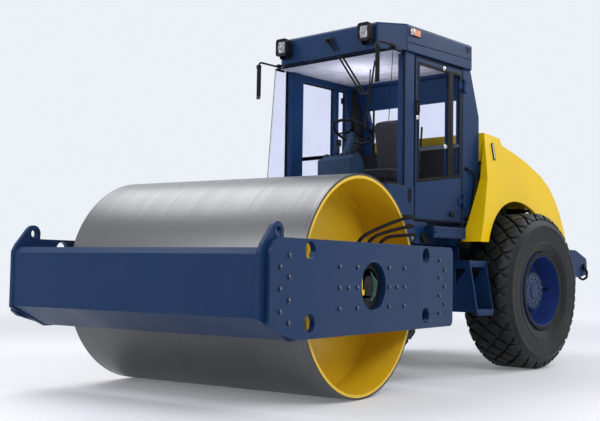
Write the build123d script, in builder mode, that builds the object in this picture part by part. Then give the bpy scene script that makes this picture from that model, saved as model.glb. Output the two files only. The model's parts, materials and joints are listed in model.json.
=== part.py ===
"""Single-drum vibrating road roller with a closed cab, in millimetres.

The machine is two frames joined at a vertical steering pivot: a drum frame in front and a
tractor with cab, engine and two driven wheels behind. Both are drawn straight ahead about the
pivot (+X forward, +Y left, +Z up, ground at z = 0). At rest the drum frame stands turned to
the left by steer_at_rest, and everything is shifted so that the origin lies on the ground
under the middle of the machine's box.
"""
from build123d import *
import os
from math import atan2, cos, degrees, hypot, pi, radians, sin, tan

# ---------------------------------------------------------------- driving dimensions
steer_at_rest = 8.0            # degrees, drum frame turned to the left
running_gap = 0.05             # radial play of a shaft in its own bearing

# drum and its frame
drum_diameter = 1600.0
drum_width = 2140.0
drum_wall = 36.0
drum_from_pivot = 1550.0
drum_side_gap = 50.0           # drum end to side plate
disc_recess = 350.0            # drum end in to the end disc
disc_wall = 30.0
disc_hole_radius = 85.0
disc_hole_circle = 520.0
hub_bore_radius = 90.0
side_plate_wall = 40.0
side_plate_front = 1260.0      # from the drum's axis
side_plate_rear = 1310.0
side_plate_top = 1105.0
side_plate_bottom = 470.0
hub_opening_radius = 170.0
inspection_radius = 60.0
beam_front = 1300.0            # from the drum's axis
beam_depth = 380.0
beam_top = 1040.0
end_plate_wall = 30.0
lug_hole_radius = 28.0
crossmember_rear = 1290.0      # from the drum's axis
crossmember_depth = 360.0

# steering pivot
pivot_pin_radius = 45.0
tongue_half_width = 115.0
tongue_bottom = 700.0
tongue_top = 880.0
yoke_wall = 50.0
yoke_gap = 5.0
cylinder_level = 790.0
cylinder_rear = (-700.0, 430.0)     # barrel pin, tractor frame
cylinder_front = (150.0, 340.0)     # rod pin, drum frame
barrel_radius = 52.0
rod_radius = 28.0
eye_radius = 45.0
eye_height = 60.0
steering_pin_radius = 25.0

# tractor running gear
axle_from_pivot = 1580.0
wheel_radius = 740.0
wheel_width = 510.0
half_track = 895.0
tread_half_width = 190.0
rim_radius = 345.0
flange_radius = 365.0
rim_wall = 18.0
hub_radius = 178.0
spindle_radius = 90.0
axle_tube_radius = 105.0

# tractor frame
neck_half_width = 200.0
rail_half_width = 360.0
rail_wall = 60.0
rail_top = 1150.0
rail_bottom = 880.0
neck_front = 60.0              # behind the pivot
cross_plate = 780.0            # behind the pivot
frame_rear = 2720.0
bumper_depth = 140.0
bumper_half_width = 840.0
tow_reach = 310.0
tow_hole_radius = 48.0
tow_hole_level = 970.0
tow_lug_wall = 40.0
engine_front = -1300.0
engine_half_width = 320.0
engine_height = 600.0
radiator_depth = 160.0
radiator_half_width = 430.0
radiator_height = 440.0
radiator_rear_gap = 200.0      # radiator to the frame's end
radiator_front_gap = 60.0

# cab
cab_half_width = 700.0
cab_floor = 1340.0
door_sill = 16.0               # door's lower edge over the cab floor
cab_wall = 45.0
post_front = 90.0              # front posts, forward of the pivot
post_depth = 130.0
door_front = -50.0
door_rear = -830.0
bay_bottom = 360.0             # windscreen, forward of the pivot
bay_top = 255.0
screen_bottom = 1640.0
glass_wall = 8.0
roof_top = 3045.0
roof_depth = 235.0
roof_front = 320.0
roof_shoulder = 100.0          # where the roof starts to narrow forwards
roof_rear = -960.0
roof_overhang = 25.0           # over the side of the cab
roof_nose_inset = 170.0        # how far the roof narrows at its front corners

# engine hood
hood_wall = 30.0
hood_sill = 1185.0
hood_front = -740.0
hood_rear_gap = 15.0           # hood's rear wall ahead of the frame's end
arch_clearance = 125.0         # wheel arch around the tyre
arch_back_set = 60.0           # arch centre behind the axle

# access steps
step_depth = 275.0
step_tyre_gap = 65.0           # ladder to tyre
step_outer = 1066.0

# ---------------------------------------------------------------- derived places
drum_radius = drum_diameter / 2
drum_half = drum_width / 2
plate_inner = drum_half + drum_side_gap
plate_outer = plate_inner + side_plate_wall
beam_corner = hypot(drum_from_pivot + beam_front, plate_outer)
front_reach = beam_corner * cos(
    atan2(plate_outer, drum_from_pivot + beam_front) - radians(steer_at_rest))
left_reach = (drum_from_pivot + beam_front) * sin(radians(steer_at_rest)) + (
    plate_outer * cos(radians(steer_at_rest)))
rear_reach = frame_rear + bumper_depth + tow_reach
right_reach = half_track + wheel_width / 2
tractor_place = Location(((rear_reach - front_reach) / 2, (right_reach - left_reach) / 2, 0))
drum_place = tractor_place * Location((0, 0, 0), (0, 0, steer_at_rest))
roof_bottom = roof_top - roof_depth
screen_top = roof_bottom - 10
door_bottom = cab_floor + door_sill
door_top = roof_bottom - 15
roof_half_width = cab_half_width + roof_overhang
roof_nose_half_width = roof_half_width - roof_nose_inset
hood_rear = hood_rear_gap - frame_rear
arch_radius = wheel_radius + arch_clearance
step_rear = wheel_radius + step_tyre_gap - axle_from_pivot
step_front = step_rear + step_depth
bumper_back = -frame_rear - bumper_depth
sides = (("left", 1), ("right", -1))


def lengthwise(y):
    """Plane along the machine at y; its normal points to the right."""
    return Plane.XZ.offset(-y)


def crosswise(x):
    """Plane across the machine at x; its normal points forward."""
    return Plane.YZ.offset(x)


def level(z):
    """Horizontal plane at height z."""
    return Plane.XY.offset(z)


def y_axis(x, z):
    """Axis across the machine through x and z."""
    return Axis((x, 0, z), (0, 1, 0))


drum_pieces = []       # pieces drawn in the drum frame
tractor_pieces = []    # pieces drawn in the tractor frame

# ---------------------------------------------------------------- drum
disc_outer = drum_half - disc_recess
exciter_radius = 180.0
boss_radius = 200.0
boss_length = 40.0
with BuildPart() as drum:
    with BuildSketch(level(drum_radius)):
        with Locations((drum_from_pivot + drum_radius - drum_wall / 2, 0)):
            Rectangle(drum_wall, drum_width)
        for _, side in sides:
            with Locations((drum_from_pivot + (hub_bore_radius + drum_radius) / 2,
                            side * (disc_outer - disc_wall / 2))):
                Rectangle(drum_radius - hub_bore_radius - drum_wall, disc_wall)
            with Locations((drum_from_pivot + (hub_bore_radius + boss_radius) / 2,
                            side * (disc_outer + boss_length / 2))):
                Rectangle(boss_radius - hub_bore_radius, boss_length)
        with Locations((drum_from_pivot + exciter_radius - disc_wall / 2, 0)):
            Rectangle(disc_wall, 2 * (disc_outer - disc_wall))
    revolve(axis=y_axis(drum_from_pivot, drum_radius))
    with BuildSketch(Plane.XZ):
        with Locations((drum_from_pivot, drum_radius)):
            with PolarLocations(disc_hole_circle, 4, start_angle=45):
                Circle(disc_hole_radius)
    extrude(amount=disc_outer + disc_wall, both=True, mode=Mode.SUBTRACT)
drum.part.label = "drum"
drum_pieces.append(drum.part)

# ---------------------------------------------------------------- runs of the drive hoses
# three hoses from a block under the cab's left front corner, over the drum's rim and down
# between drum and side plate to the carrier of the drum motor; places in the drum frame
hose_radius = 13.0
port_radius = 17.0
port_length = 45.0
slot_y = drum_half + 28
hose_runs = (            # x, y, z of each bend from the block to the carrier
    ((385, 692, 1330), (510, 750, 1338), (655, 915, 1345), (790, 1108, 1336),
     (1046, 1106, 1302), (1390, slot_y, 1215), (1600, slot_y, 1155), (1690, slot_y, 1090),
     (1720, slot_y, 1003)),
    ((385, 692, 1265), (510, 750, 1270), (655, 915, 1272), (790, 1108, 1264),
     (1046, 1106, 1234), (1290, slot_y, 1190), (1460, slot_y, 1150), (1550, slot_y, 1088),
     (1585, slot_y, 1001)),
    ((385, 692, 1201), (510, 750, 1199), (655, 915, 1198), (790, 1108, 1194),
     (1030, 1106, 1178), (1190, slot_y, 1166), (1298, slot_y, 1142), (1390, slot_y, 1084),
     (1430, slot_y, 1001)),
)


def bend_radii(points):
    """Largest even radii of a hose's bends that leave room for its straight runs."""
    radii = []
    for before, here, after in zip(points, points[1:], points[2:]):
        arriving = Vector(here) - Vector(before)
        leaving = Vector(after) - Vector(here)
        half_turn = radians(arriving.get_angle(leaving)) / 2
        radii.append(0.45 * min(arriving.length, leaving.length) / tan(half_turn))
    return radii


def port_plane(end, neighbour):
    """Plane of a hose's end; its normal runs on from the hose into the port."""
    return Plane(origin=end, z_dir=Vector(end) - Vector(neighbour))


# hub carriers: a plate bolted inside the side plate, with a barrel that reaches in to the disc
carrier_wall = 25.0
carrier_length = 1020.0
carrier_height = 370.0
carrier_barrel = 165.0
carrier_bore = 125.0
motor_radius = 72.0
motor_length = 190.0
barrel_end = disc_outer + boss_length + 30
for name, side in sides:
    with BuildPart() as hub_carrier:
        with BuildSketch(lengthwise(side * plate_inner)):
            with Locations((drum_from_pivot, drum_radius)):
                Rectangle(carrier_length, carrier_height)
        extrude(amount=side * carrier_wall)
        chamfer(hub_carrier.edges().filter_by(Axis.Y), 60)
        with BuildSketch(level(drum_radius)):
            with BuildLine():
                Polyline(
                    (drum_from_pivot, side * (disc_outer - disc_wall / 2)),
                    (drum_from_pivot + hub_bore_radius - running_gap,
                     side * (disc_outer - disc_wall / 2)),
                    (drum_from_pivot + hub_bore_radius - running_gap, side * barrel_end),
                    (drum_from_pivot + carrier_barrel, side * barrel_end),
                    (drum_from_pivot + carrier_barrel, side * plate_inner),
                    (drum_from_pivot + carrier_bore, side * plate_inner),
                    (drum_from_pivot + carrier_bore, side * (plate_inner - motor_length)),
                    (drum_from_pivot + motor_radius, side * (plate_inner - motor_length)),
                    (drum_from_pivot + motor_radius, side * (plate_inner - 20)),
                    (drum_from_pivot, side * (plate_inner - 20)),
                    close=True)
            make_face()
        revolve(axis=y_axis(drum_from_pivot, drum_radius))
        with BuildSketch(lengthwise(side * plate_inner)):
            with Locations((drum_from_pivot, drum_radius)):
                Circle(carrier_bore)
                Circle(motor_radius, mode=Mode.SUBTRACT)
        extrude(amount=side * carrier_wall, mode=Mode.SUBTRACT)
        if name == "left":
            for hose_points in hose_runs:
                with BuildSketch(port_plane(hose_points[-1], hose_points[-2])):
                    Circle(port_radius)
                extrude(amount=port_length)
    hub_carrier.part.label = f"hub_carrier_{name}"
    drum_pieces.append(hub_carrier.part)

# ---------------------------------------------------------------- drum frame
plate_front_x = drum_from_pivot + side_plate_front
plate_rear_x = drum_from_pivot - side_plate_rear
for name, side in sides:
    with BuildPart() as side_plate:
        with BuildSketch(lengthwise(side * plate_outer)) as outline:
            with BuildLine():
                Polyline(
                    (plate_rear_x, side_plate_bottom),
                    (plate_front_x - 300, side_plate_bottom),
                    (plate_front_x - 50, side_plate_bottom + 70),
                    (plate_front_x, side_plate_bottom + 105),
                    (plate_front_x, side_plate_top),
                    (plate_rear_x, side_plate_top),
                    close=True)
            make_face()
            fillet(outline.vertices().sort_by(Axis.X)[:2], 50)
            fillet(outline.vertices().group_by(Axis.Y)[-1].sort_by(Axis.X)[-1], 120)
        extrude(amount=side * side_plate_wall)
        with BuildSketch(lengthwise(side * plate_outer)):
            with Locations((drum_from_pivot, drum_radius)):
                Circle(hub_opening_radius)
                with GridLocations(1640, 460, 2, 2):
                    Circle(inspection_radius)
        extrude(amount=side * side_plate_wall, mode=Mode.SUBTRACT)
    side_plate.part.label = f"side_plate_{name}"
    drum_pieces.append(side_plate.part)

# front beam: a box with a sloping underside, and end plates that rise into lifting lugs
beam_x = drum_from_pivot + beam_front
beam_back = beam_x - beam_depth
lug_x = drum_from_pivot + 1125
lug_z = 1142.0
with BuildPart() as front_beam:
    with BuildSketch(lengthwise(plate_inner - end_plate_wall)):
        with BuildLine():
            Polyline((beam_back, 470), (beam_x - 300, 470), (beam_x, 615), (beam_x, 1000),
                     (beam_x - 35, beam_top), (beam_back, beam_top), close=True)
        make_face()
    extrude(amount=2 * (plate_inner - end_plate_wall))
    for _, side in sides:
        with BuildSketch(lengthwise(side * plate_inner)):
            with BuildLine():
                Polyline((beam_back, 460), (beam_x - 310, 460), (beam_x + 8, 605),
                         (beam_x + 8, 1010), (beam_x - 20, beam_top + 20),
                         (lug_x + 50, lug_z + 40), (lug_x - 60, lug_z + 20),
                         (lug_x - 60, beam_top + 20), (beam_back, beam_top + 20), close=True)
            make_face()
            with Locations((lug_x, lug_z)):
                Circle(62)
                Circle(lug_hole_radius, mode=Mode.SUBTRACT)
        extrude(amount=side * end_plate_wall)
front_beam.part.label = "front_beam"
drum_pieces.append(front_beam.part)

# rear crossmember with end plates and the ears that hold the steering rods
cross_back = drum_from_pivot - crossmember_rear
cross_front = cross_back + crossmember_depth
ear_wall = 25.0
ear_gap = eye_height / 2 + 6
with BuildPart() as rear_crossmember:
    with BuildSketch(lengthwise(plate_inner - end_plate_wall)):
        with BuildLine():
            Polyline((cross_back, 520), (cross_front, 520), (cross_front, 1080),
                     (cross_back, 1080), close=True)
        make_face()
    extrude(amount=2 * (plate_inner - end_plate_wall))
    for _, side in sides:
        with BuildSketch(lengthwise(side * plate_inner)):
            with BuildLine():
                Polyline((cross_back - 10, 480), (cross_front + 10, 480),
                         (cross_front + 10, 1095), (cross_back - 10, 1095), close=True)
            make_face()
        extrude(amount=side * end_plate_wall)
        for upward in (1, -1):
            with BuildSketch(level(cylinder_level + upward * ear_gap)):
                with Locations((cylinder_front[0], side * cylinder_front[1])):
                    Circle(eye_radius)
                with Locations(((cylinder_front[0] + cross_back) / 2,
                                side * cylinder_front[1])):
                    Rectangle(cross_back - cylinder_front[0], 2 * eye_radius)
            extrude(amount=upward * ear_wall)
            with BuildSketch(level(cylinder_level + upward * (ear_gap + ear_wall))):
                with Locations((cylinder_front[0], side * cylinder_front[1])):
                    Circle(steering_pin_radius + 8)
            extrude(amount=upward * 12)
rear_crossmember.part.label = "rear_crossmember"
drum_pieces.append(rear_crossmember.part)

# centre hinge: flange on the crossmember and a tongue with the pivot bore
with BuildPart() as centre_tongue:
    with BuildSketch(crosswise(cross_back)):
        with Locations((0, (tongue_bottom + tongue_top) / 2)):
            Rectangle(440, 380)
    extrude(amount=-32)
    with BuildSketch(level(tongue_bottom)):
        with Locations(((cross_back - 32) / 2, 0)):
            Rectangle(cross_back - 32, 2 * tongue_half_width)
        Circle(tongue_half_width)
        Circle(pivot_pin_radius + running_gap, mode=Mode.SUBTRACT)
    extrude(amount=tongue_top - tongue_bottom)
centre_tongue.part.label = "centre_tongue"
drum_pieces.append(centre_tongue.part)

# ---------------------------------------------------------------- tractor frame
yoke_reach = tongue_half_width + 15
levels_of_yoke = (tongue_bottom - yoke_gap - yoke_wall, tongue_top + yoke_gap)
with BuildPart() as tractor_frame:
    # neck: two deep side plates and a front wall behind the tongue
    for _, side in sides:
        with BuildSketch(lengthwise(side * neck_half_width)):
            with BuildLine():
                Polyline((-neck_front - 90, 600), (-cross_plate, 600), (-cross_plate, rail_top),
                         (-neck_front, rail_top), (-neck_front, 960), close=True)
            make_face()
        extrude(amount=side * rail_wall)
    with BuildSketch(crosswise(-yoke_reach)):
        with Locations((0, (600 + rail_top) / 2)):
            Rectangle(2 * neck_half_width, rail_top - 600)
    extrude(amount=-40)
    # yoke plates above and below the tongue
    for yoke_level in levels_of_yoke:
        with BuildSketch(level(yoke_level)):
            with Locations((-yoke_reach / 2, 0)):
                Rectangle(yoke_reach, 2 * yoke_reach)
            Circle(yoke_reach)
            Circle(pivot_pin_radius + 0.5, mode=Mode.SUBTRACT)
        extrude(amount=yoke_wall)
    # cross plate behind the neck
    with BuildSketch(crosswise(-cross_plate)):
        with Locations((0, (600 + rail_top) / 2)):
            Rectangle(1040, rail_top - 600)
    extrude(amount=-40)
    # rear rails
    for _, side in sides:
        with BuildSketch(lengthwise(side * rail_half_width)):
            with BuildLine():
                Polyline((-cross_plate, 640), (-cross_plate - 240, 640),
                         (-cross_plate - 420, rail_bottom), (-frame_rear, rail_bottom),
                         (-frame_rear, rail_top), (-cross_plate, rail_top), close=True)
            make_face()
        extrude(amount=side * rail_wall)
    for cross_x in (-axle_from_pivot, (engine_front - frame_rear) / 2 - 240):
        with BuildSketch(level(rail_top)):
            with Locations((cross_x, 0)):
                Rectangle(220, 2 * rail_half_width)
        extrude(amount=-60)
    # ears and pins of the steering barrels
    for _, side in sides:
        pin_x, pin_y = cylinder_rear[0], side * cylinder_rear[1]
        for upward in (1, -1):
            with BuildSketch(level(cylinder_level + upward * ear_gap)):
                with Locations((pin_x, pin_y)):
                    Circle(eye_radius)
                with Locations(((pin_x - cross_plate) / 2, pin_y)):
                    Rectangle(cross_plate + pin_x, 2 * eye_radius)
            extrude(amount=upward * ear_wall)
        with BuildSketch(level(cylinder_level - ear_gap - ear_wall - 12)):
            with Locations((pin_x, pin_y)):
                Circle(steering_pin_radius)
        extrude(amount=2 * (ear_gap + ear_wall + 12))
tractor_frame.part.label = "tractor_frame"
tractor_pieces.append(tractor_frame.part)

# pivot pin with a head above and a cap below
with BuildPart() as pivot_pin:
    with BuildSketch(level(levels_of_yoke[0] - 20)):
        Circle(pivot_pin_radius)
    extrude(amount=levels_of_yoke[1] + yoke_wall - levels_of_yoke[0] + 20)
    for cap_level in (levels_of_yoke[0] - 20, levels_of_yoke[1] + yoke_wall):
        with BuildSketch(level(cap_level)):
            Circle(pivot_pin_radius + 22)
        extrude(amount=20)
pivot_pin.part.label = "pivot_pin"
tractor_pieces.append(pivot_pin.part)

# steering cylinders, drawn along +X from the barrel pin and then swung to their place
barrel_length = 545.0
for name, side in sides:
    turned = radians(steer_at_rest)
    front_x = cylinder_front[0] * cos(turned) - side * cylinder_front[1] * sin(turned)
    front_y = cylinder_front[0] * sin(turned) + side * cylinder_front[1] * cos(turned)
    rest_length = hypot(front_x - cylinder_rear[0], front_y - side * cylinder_rear[1])
    rest_angle = degrees(atan2(front_y - side * cylinder_rear[1], front_x - cylinder_rear[0]))
    swing = Location((cylinder_rear[0], side * cylinder_rear[1], cylinder_level),
                     (0, 0, rest_angle))
    with BuildPart() as barrel:
        with BuildSketch(level(-eye_height / 2)):
            Circle(eye_radius)
        extrude(amount=eye_height)
        with BuildSketch(level(-eye_height / 2)):
            with Locations(((eye_radius + 6) / 2, 0)):
                Rectangle(eye_radius + 6, 1.5 * eye_radius)
        extrude(amount=eye_height)
        with BuildSketch(crosswise(eye_radius + 6)):
            Circle(barrel_radius)
        extrude(amount=barrel_length - eye_radius - 6)
        with BuildSketch(crosswise(barrel_length)):
            Circle(rod_radius + running_gap)
        extrude(amount=-(barrel_length - eye_radius - 25), mode=Mode.SUBTRACT)
        with BuildSketch(level(-eye_height)):
            Circle(steering_pin_radius + running_gap)
        extrude(amount=2 * eye_height, mode=Mode.SUBTRACT)
    placed_barrel = barrel.part.moved(swing)
    placed_barrel.label = f"steering_barrel_{name}"
    tractor_pieces.append(placed_barrel)
    with BuildPart() as rod:
        with BuildSketch(level(-eye_height / 2)):
            with Locations((rest_length, 0)):
                Circle(eye_radius)
        extrude(amount=eye_height)
        with BuildSketch(crosswise(rest_length)):
            Circle(rod_radius)
        extrude(amount=-(rest_length - 350))
    placed_rod = rod.part.moved(swing)
    placed_rod.label = f"steering_rod_{name}"
    tractor_pieces.append(placed_rod)

# hood hinge, under the rear edge of the hood
hood_hinge_x = hood_rear + 15
hood_hinge_z = hood_sill - 5
hood_hinge_y = 450.0
hood_pin_radius = 8.0

# rear bumper with two tow lugs and their shackles
with BuildPart() as rear_bumper:
    with BuildSketch(lengthwise(bumper_half_width)):
        with BuildLine():
            Polyline((-frame_rear, 700), (-frame_rear, hood_sill - 25),
                     (bumper_back, hood_sill - 25), (bumper_back, 780), (bumper_back + 60, 700),
                     close=True)
        make_face()
    extrude(amount=2 * bumper_half_width)
    for _, side in sides:
        with BuildSketch(lengthwise(side * (bumper_half_width - 20))):
            with BuildLine():
                Polyline((bumper_back, 1155), (bumper_back - 60, 1155),
                         (bumper_back - tow_reach + 20, 1075), (bumper_back - tow_reach, 1040),
                         (bumper_back - tow_reach, 900), (bumper_back - 130, 870),
                         (bumper_back, 900), close=True)
            make_face()
            with Locations((bumper_back - tow_reach + 95, tow_hole_level)):
                Circle(tow_hole_radius, mode=Mode.SUBTRACT)
        extrude(amount=side * tow_lug_wall)
    # brackets and pins of the hood's hinge
    for _, side in sides:
        for inner_y in (side * (hood_hinge_y - 52), side * (hood_hinge_y + 40)):
            with BuildSketch(lengthwise(inner_y)):
                with BuildLine():
                    Polyline((bumper_back + 90, hood_sill - 60), (bumper_back + 90, hood_sill - 25),
                             (hood_hinge_x - 6, hood_hinge_z + 12),
                             (hood_hinge_x + 12, hood_hinge_z - 6),
                             (-frame_rear + 4, hood_sill - 60), close=True)
                make_face()
                with Locations((hood_hinge_x, hood_hinge_z)):
                    Circle(14)
            extrude(amount=-side * 12)
        with BuildSketch(lengthwise(side * (hood_hinge_y - 52))):
            with Locations((hood_hinge_x, hood_hinge_z)):
                Circle(hood_pin_radius)
        extrude(amount=-side * 104)
rear_bumper.part.label = "rear_bumper"
tractor_pieces.append(rear_bumper.part)

# ---------------------------------------------------------------- axle and wheels
axle_x = -axle_from_pivot
hub_face = half_track + 130
spindle_end = half_track + 60
axle_end = half_track - 160
with BuildPart() as rear_axle:
    with BuildSketch(level(wheel_radius)):
        with BuildLine():
            Polyline((axle_x, -spindle_end), (axle_x + spindle_radius - running_gap, -spindle_end),
                     (axle_x + spindle_radius - running_gap, -axle_end),
                     (axle_x + axle_tube_radius + 25, -axle_end),
                     (axle_x + axle_tube_radius, -axle_end + 120),
                     (axle_x + axle_tube_radius, -260),
                     (axle_x + 225, -110), (axle_x + 225, 110),
                     (axle_x + axle_tube_radius, 260),
                     (axle_x + axle_tube_radius, axle_end - 120),
                     (axle_x + axle_tube_radius + 25, axle_end),
                     (axle_x + spindle_radius - running_gap, axle_end),
                     (axle_x + spindle_radius - running_gap, spindle_end),
                     (axle_x, spindle_end), close=True)
        make_face()
    revolve(axis=y_axis(axle_x, wheel_radius))
    with BuildSketch(crosswise(axle_x)):
        with Locations((0, wheel_radius)):
            Circle(95)
    extrude(amount=400)
    for _, side in sides:
        with BuildSketch(level(wheel_radius)):
            with Locations((axle_x, side * (rail_half_width - rail_wall / 2))):
                Rectangle(170, 120)
        extrude(amount=rail_bottom - wheel_radius)
rear_axle.part.label = "rear_axle"
tractor_pieces.append(rear_axle.part)

half_width = wheel_width / 2
groove_pitches = 16
groove_depth = 24.0
groove_width = 32.0
groove_slant = 45.0            # from the tyre's own axis
tyre_facets = 2 * groove_pitches
tyre_sections = (         # offset from the wheel's middle, radius
    (-half_width + 45, flange_radius + 3),
    (-half_width, flange_radius + 70),
    (-half_width, wheel_radius - 130),
    (-tread_half_width, wheel_radius),
    (tread_half_width, wheel_radius),
    (half_width, wheel_radius - 130),
    (half_width, flange_radius + 70),
    (half_width - 45, flange_radius + 3),
)
# a slanting groove's middle in either half of the tread runs ahead of its place on the centre
groove_lead = degrees(tread_half_width / 2 * tan(radians(groove_slant)) / wheel_radius)
groove_places = []
for pitch in range(groove_pitches):
    for edge in (1, -1):
        for slant in (groove_slant, -groove_slant):
            lead = groove_lead if edge * slant > 0 else -groove_lead
            groove_places.append(
                Location((axle_x, 0, wheel_radius), (0, 360 * pitch / groove_pitches - lead, 0))
                * Location((0, edge * tread_half_width / 2, wheel_radius - groove_depth),
                           (0, 0, slant)))
# the diamond tread's grooves slant both ways and cross
with BuildPart() as tyre_form:
    for section_y, section_radius in tyre_sections:
        with BuildSketch(lengthwise(section_y)):
            with Locations((axle_x, wheel_radius)):
                RegularPolygon(section_radius, tyre_facets, major_radius=False,
                               rotation=180 / tyre_facets)
    loft(ruled=True)
    with BuildSketch(lengthwise(half_width)):
        with Locations((axle_x, wheel_radius)):
            Circle(rim_radius)
    extrude(amount=wheel_width, mode=Mode.SUBTRACT)
    with Locations(*groove_places):
        Box(groove_width, 1.62 * tread_half_width, 2 * groove_depth,
            align=(Align.CENTER, Align.CENTER, Align.MIN), mode=Mode.SUBTRACT)
for name, side in sides:
    wheel_y = side * half_track
    tyre = tyre_form.part.moved(Location((0, wheel_y, 0)))
    tyre.label = f"tyre_{name}"
    tractor_pieces.append(tyre)
    with BuildPart() as rim:
        # barrel, lips, web and hub turned from one section
        with BuildSketch(level(wheel_radius)):
            with Locations((axle_x + rim_radius - rim_wall / 2, wheel_y)):
                Rectangle(rim_wall, wheel_width - 90)
            for edge in (1, -1):
                with Locations((axle_x + (rim_radius + flange_radius) / 2 - rim_wall / 2,
                                wheel_y + edge * (half_width - 45 + rim_wall / 2))):
                    Rectangle(flange_radius - rim_radius + rim_wall, rim_wall)
            with Locations((axle_x + (rim_radius + hub_radius) / 2 - rim_wall / 2,
                            side * (half_track + 15))):
                Rectangle(rim_radius - hub_radius, rim_wall)
            with BuildLine():
                Polyline((axle_x, side * (spindle_end + 10)), (axle_x, side * hub_face),
                         (axle_x + hub_radius - 15, side * hub_face),
                         (axle_x + hub_radius, side * (hub_face - 15)),
                         (axle_x + hub_radius, side * (axle_end + 20)),
                         (axle_x + spindle_radius, side * (axle_end + 20)),
                         (axle_x + spindle_radius, side * (spindle_end + 10)), close=True)
            make_face()
        revolve(axis=y_axis(axle_x, wheel_radius))
    rim.part.label = f"rim_{name}"
    tractor_pieces.append(rim.part)

# ---------------------------------------------------------------- engine, radiator, deck
radiator_rear = radiator_rear_gap - frame_rear
engine_rear = radiator_rear + radiator_depth + radiator_front_gap
with BuildPart() as engine_block:
    with BuildSketch(level(rail_top)):
        with Locations(((engine_front + engine_rear) / 2, 0)):
            Rectangle(engine_front - engine_rear, 2 * engine_half_width)
    extrude(amount=engine_height)
engine_block.part.label = "engine_block"
tractor_pieces.append(engine_block.part)

with BuildPart() as radiator:
    with BuildSketch(level(rail_top)):
        with Locations((radiator_rear + radiator_depth / 2, 0)):
            Rectangle(radiator_depth, 2 * radiator_half_width)
    extrude(amount=radiator_height)
radiator.part.label = "radiator"
tractor_pieces.append(radiator.part)

deck_half_width = cab_half_width - 100
block_length = 210.0
with BuildPart() as deck:
    with BuildSketch(level(rail_top)):
        with Locations((-430, 0)):
            Rectangle(960, 2 * deck_half_width)
    extrude(amount=cab_floor - rail_top)
    for _, side in sides:
        # cab mounting leg
        with BuildSketch(level(rail_top)):
            with Locations((-100, side * (cab_half_width + deck_half_width) / 2)):
                Rectangle(300, cab_half_width - deck_half_width)
        extrude(amount=cab_floor - rail_top)
        # hose block under the front corner of the cab
        with BuildSketch(level(rail_top + 10)):
            with Locations((40 + block_length / 2, side * (cab_half_width - 10))):
                Rectangle(block_length + 20, 130)
        extrude(amount=cab_floor - rail_top - 10)
        if side > 0:
            for hose_points in hose_runs:
                port = port_plane(hose_points[0], hose_points[1])
                with BuildSketch(Plane(Location((0, 0, 0), (0, 0, steer_at_rest))
                                       * port.location)):
                    Circle(port_radius)
                extrude(amount=port_length)
        # tool box that is also the upper step
        with BuildSketch(level(rail_top + 55)):
            with Locations((-470, side * cab_half_width)):
                Rectangle(520, 200)
        extrude(amount=100)
deck.part.label = "deck"
tractor_pieces.append(deck.part)

# ladders at both sides: two stringer plates that lean out, joined by two treads
ladder_inner = deck_half_width - 40
tread_rows = (            # height of the tread's top, outer edge
    (580, step_outer),
    (1005, step_outer - 80),
)
for name, side in sides:
    with BuildPart() as ladder:
        for stringer_x in (step_front, step_rear + 12):
            with BuildSketch(crosswise(stringer_x)):
                with BuildLine():
                    Polyline((side * ladder_inner, 560), (side * step_outer, 560),
                             (side * (step_outer - 80), 1010), (side * cab_half_width, 1010),
                             (side * cab_half_width, rail_top), (side * ladder_inner, rail_top),
                             close=True)
                make_face()
                with BuildLine():
                    Polyline((side * 830, 940), (side * 950, 940), (side * 836, 790),
                             close=True)
                make_face(mode=Mode.SUBTRACT)
            extrude(amount=-12)
        for tread_top, outer in tread_rows:
            with BuildSketch(level(tread_top)):
                with Locations(((step_front + step_rear) / 2,
                                side * (outer + deck_half_width) / 2)):
                    Rectangle(step_depth, outer - deck_half_width)
            extrude(amount=-25)
    ladder.part.label = f"ladder_{name}"
    tractor_pieces.append(ladder.part)

# ---------------------------------------------------------------- cab
sill = 1700.0                   # door window sill at the front
floor_half_width = cab_half_width - 70
with BuildPart() as cab_floor_pan:
    with BuildSketch(level(cab_floor)):
        with BuildLine():
            Polyline((-820, -floor_half_width), (bay_bottom - 130, -floor_half_width),
                     (bay_bottom - 70, 60 - floor_half_width),
                     (bay_bottom - 70, floor_half_width - 60),
                     (bay_bottom - 130, floor_half_width), (-820, floor_half_width),
                     close=True)
        make_face()
    extrude(amount=60)
cab_floor_pan.part.label = "cab_floor"
tractor_pieces.append(cab_floor_pan.part)
floor_top = cab_floor + 60

# front shell: the curved apron under the windscreen with its two corner posts
with BuildPart() as cab_front:
    with BuildSketch(level(cab_floor)):
        with BuildLine():
            Polyline((door_front, -cab_half_width), (bay_bottom - 40, -cab_half_width),
                     (bay_bottom, 12 - cab_half_width), (bay_bottom, cab_half_width - 12),
                     (bay_bottom - 40, cab_half_width), (door_front, cab_half_width),
                     close=True)
        make_face()
        offset(amount=-cab_wall, mode=Mode.SUBTRACT)
    extrude(amount=screen_bottom - cab_floor)
    # the apron is open behind, between the posts
    with BuildSketch(level(cab_floor)):
        with Locations((door_front, 0)):
            Rectangle(2 * cab_wall + 2, 2 * (cab_half_width - cab_wall))
    extrude(amount=screen_bottom - cab_floor, mode=Mode.SUBTRACT)
    for _, side in sides:
        with BuildSketch(level(screen_bottom)):
            with Locations((post_front - post_depth / 2, side * (cab_half_width - 40))):
                Rectangle(post_depth, 80)
        extrude(amount=roof_bottom - screen_bottom)
cab_front.part.label = "cab_front"
tractor_pieces.append(cab_front.part)

# door hinges: the axis stands clear of the door's outer face
hinge_x = -827.0
hinge_y = cab_half_width + 16
hinge_levels = (door_bottom + 204, roof_bottom - 170)
hinge_pin_radius = 7.0

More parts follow.
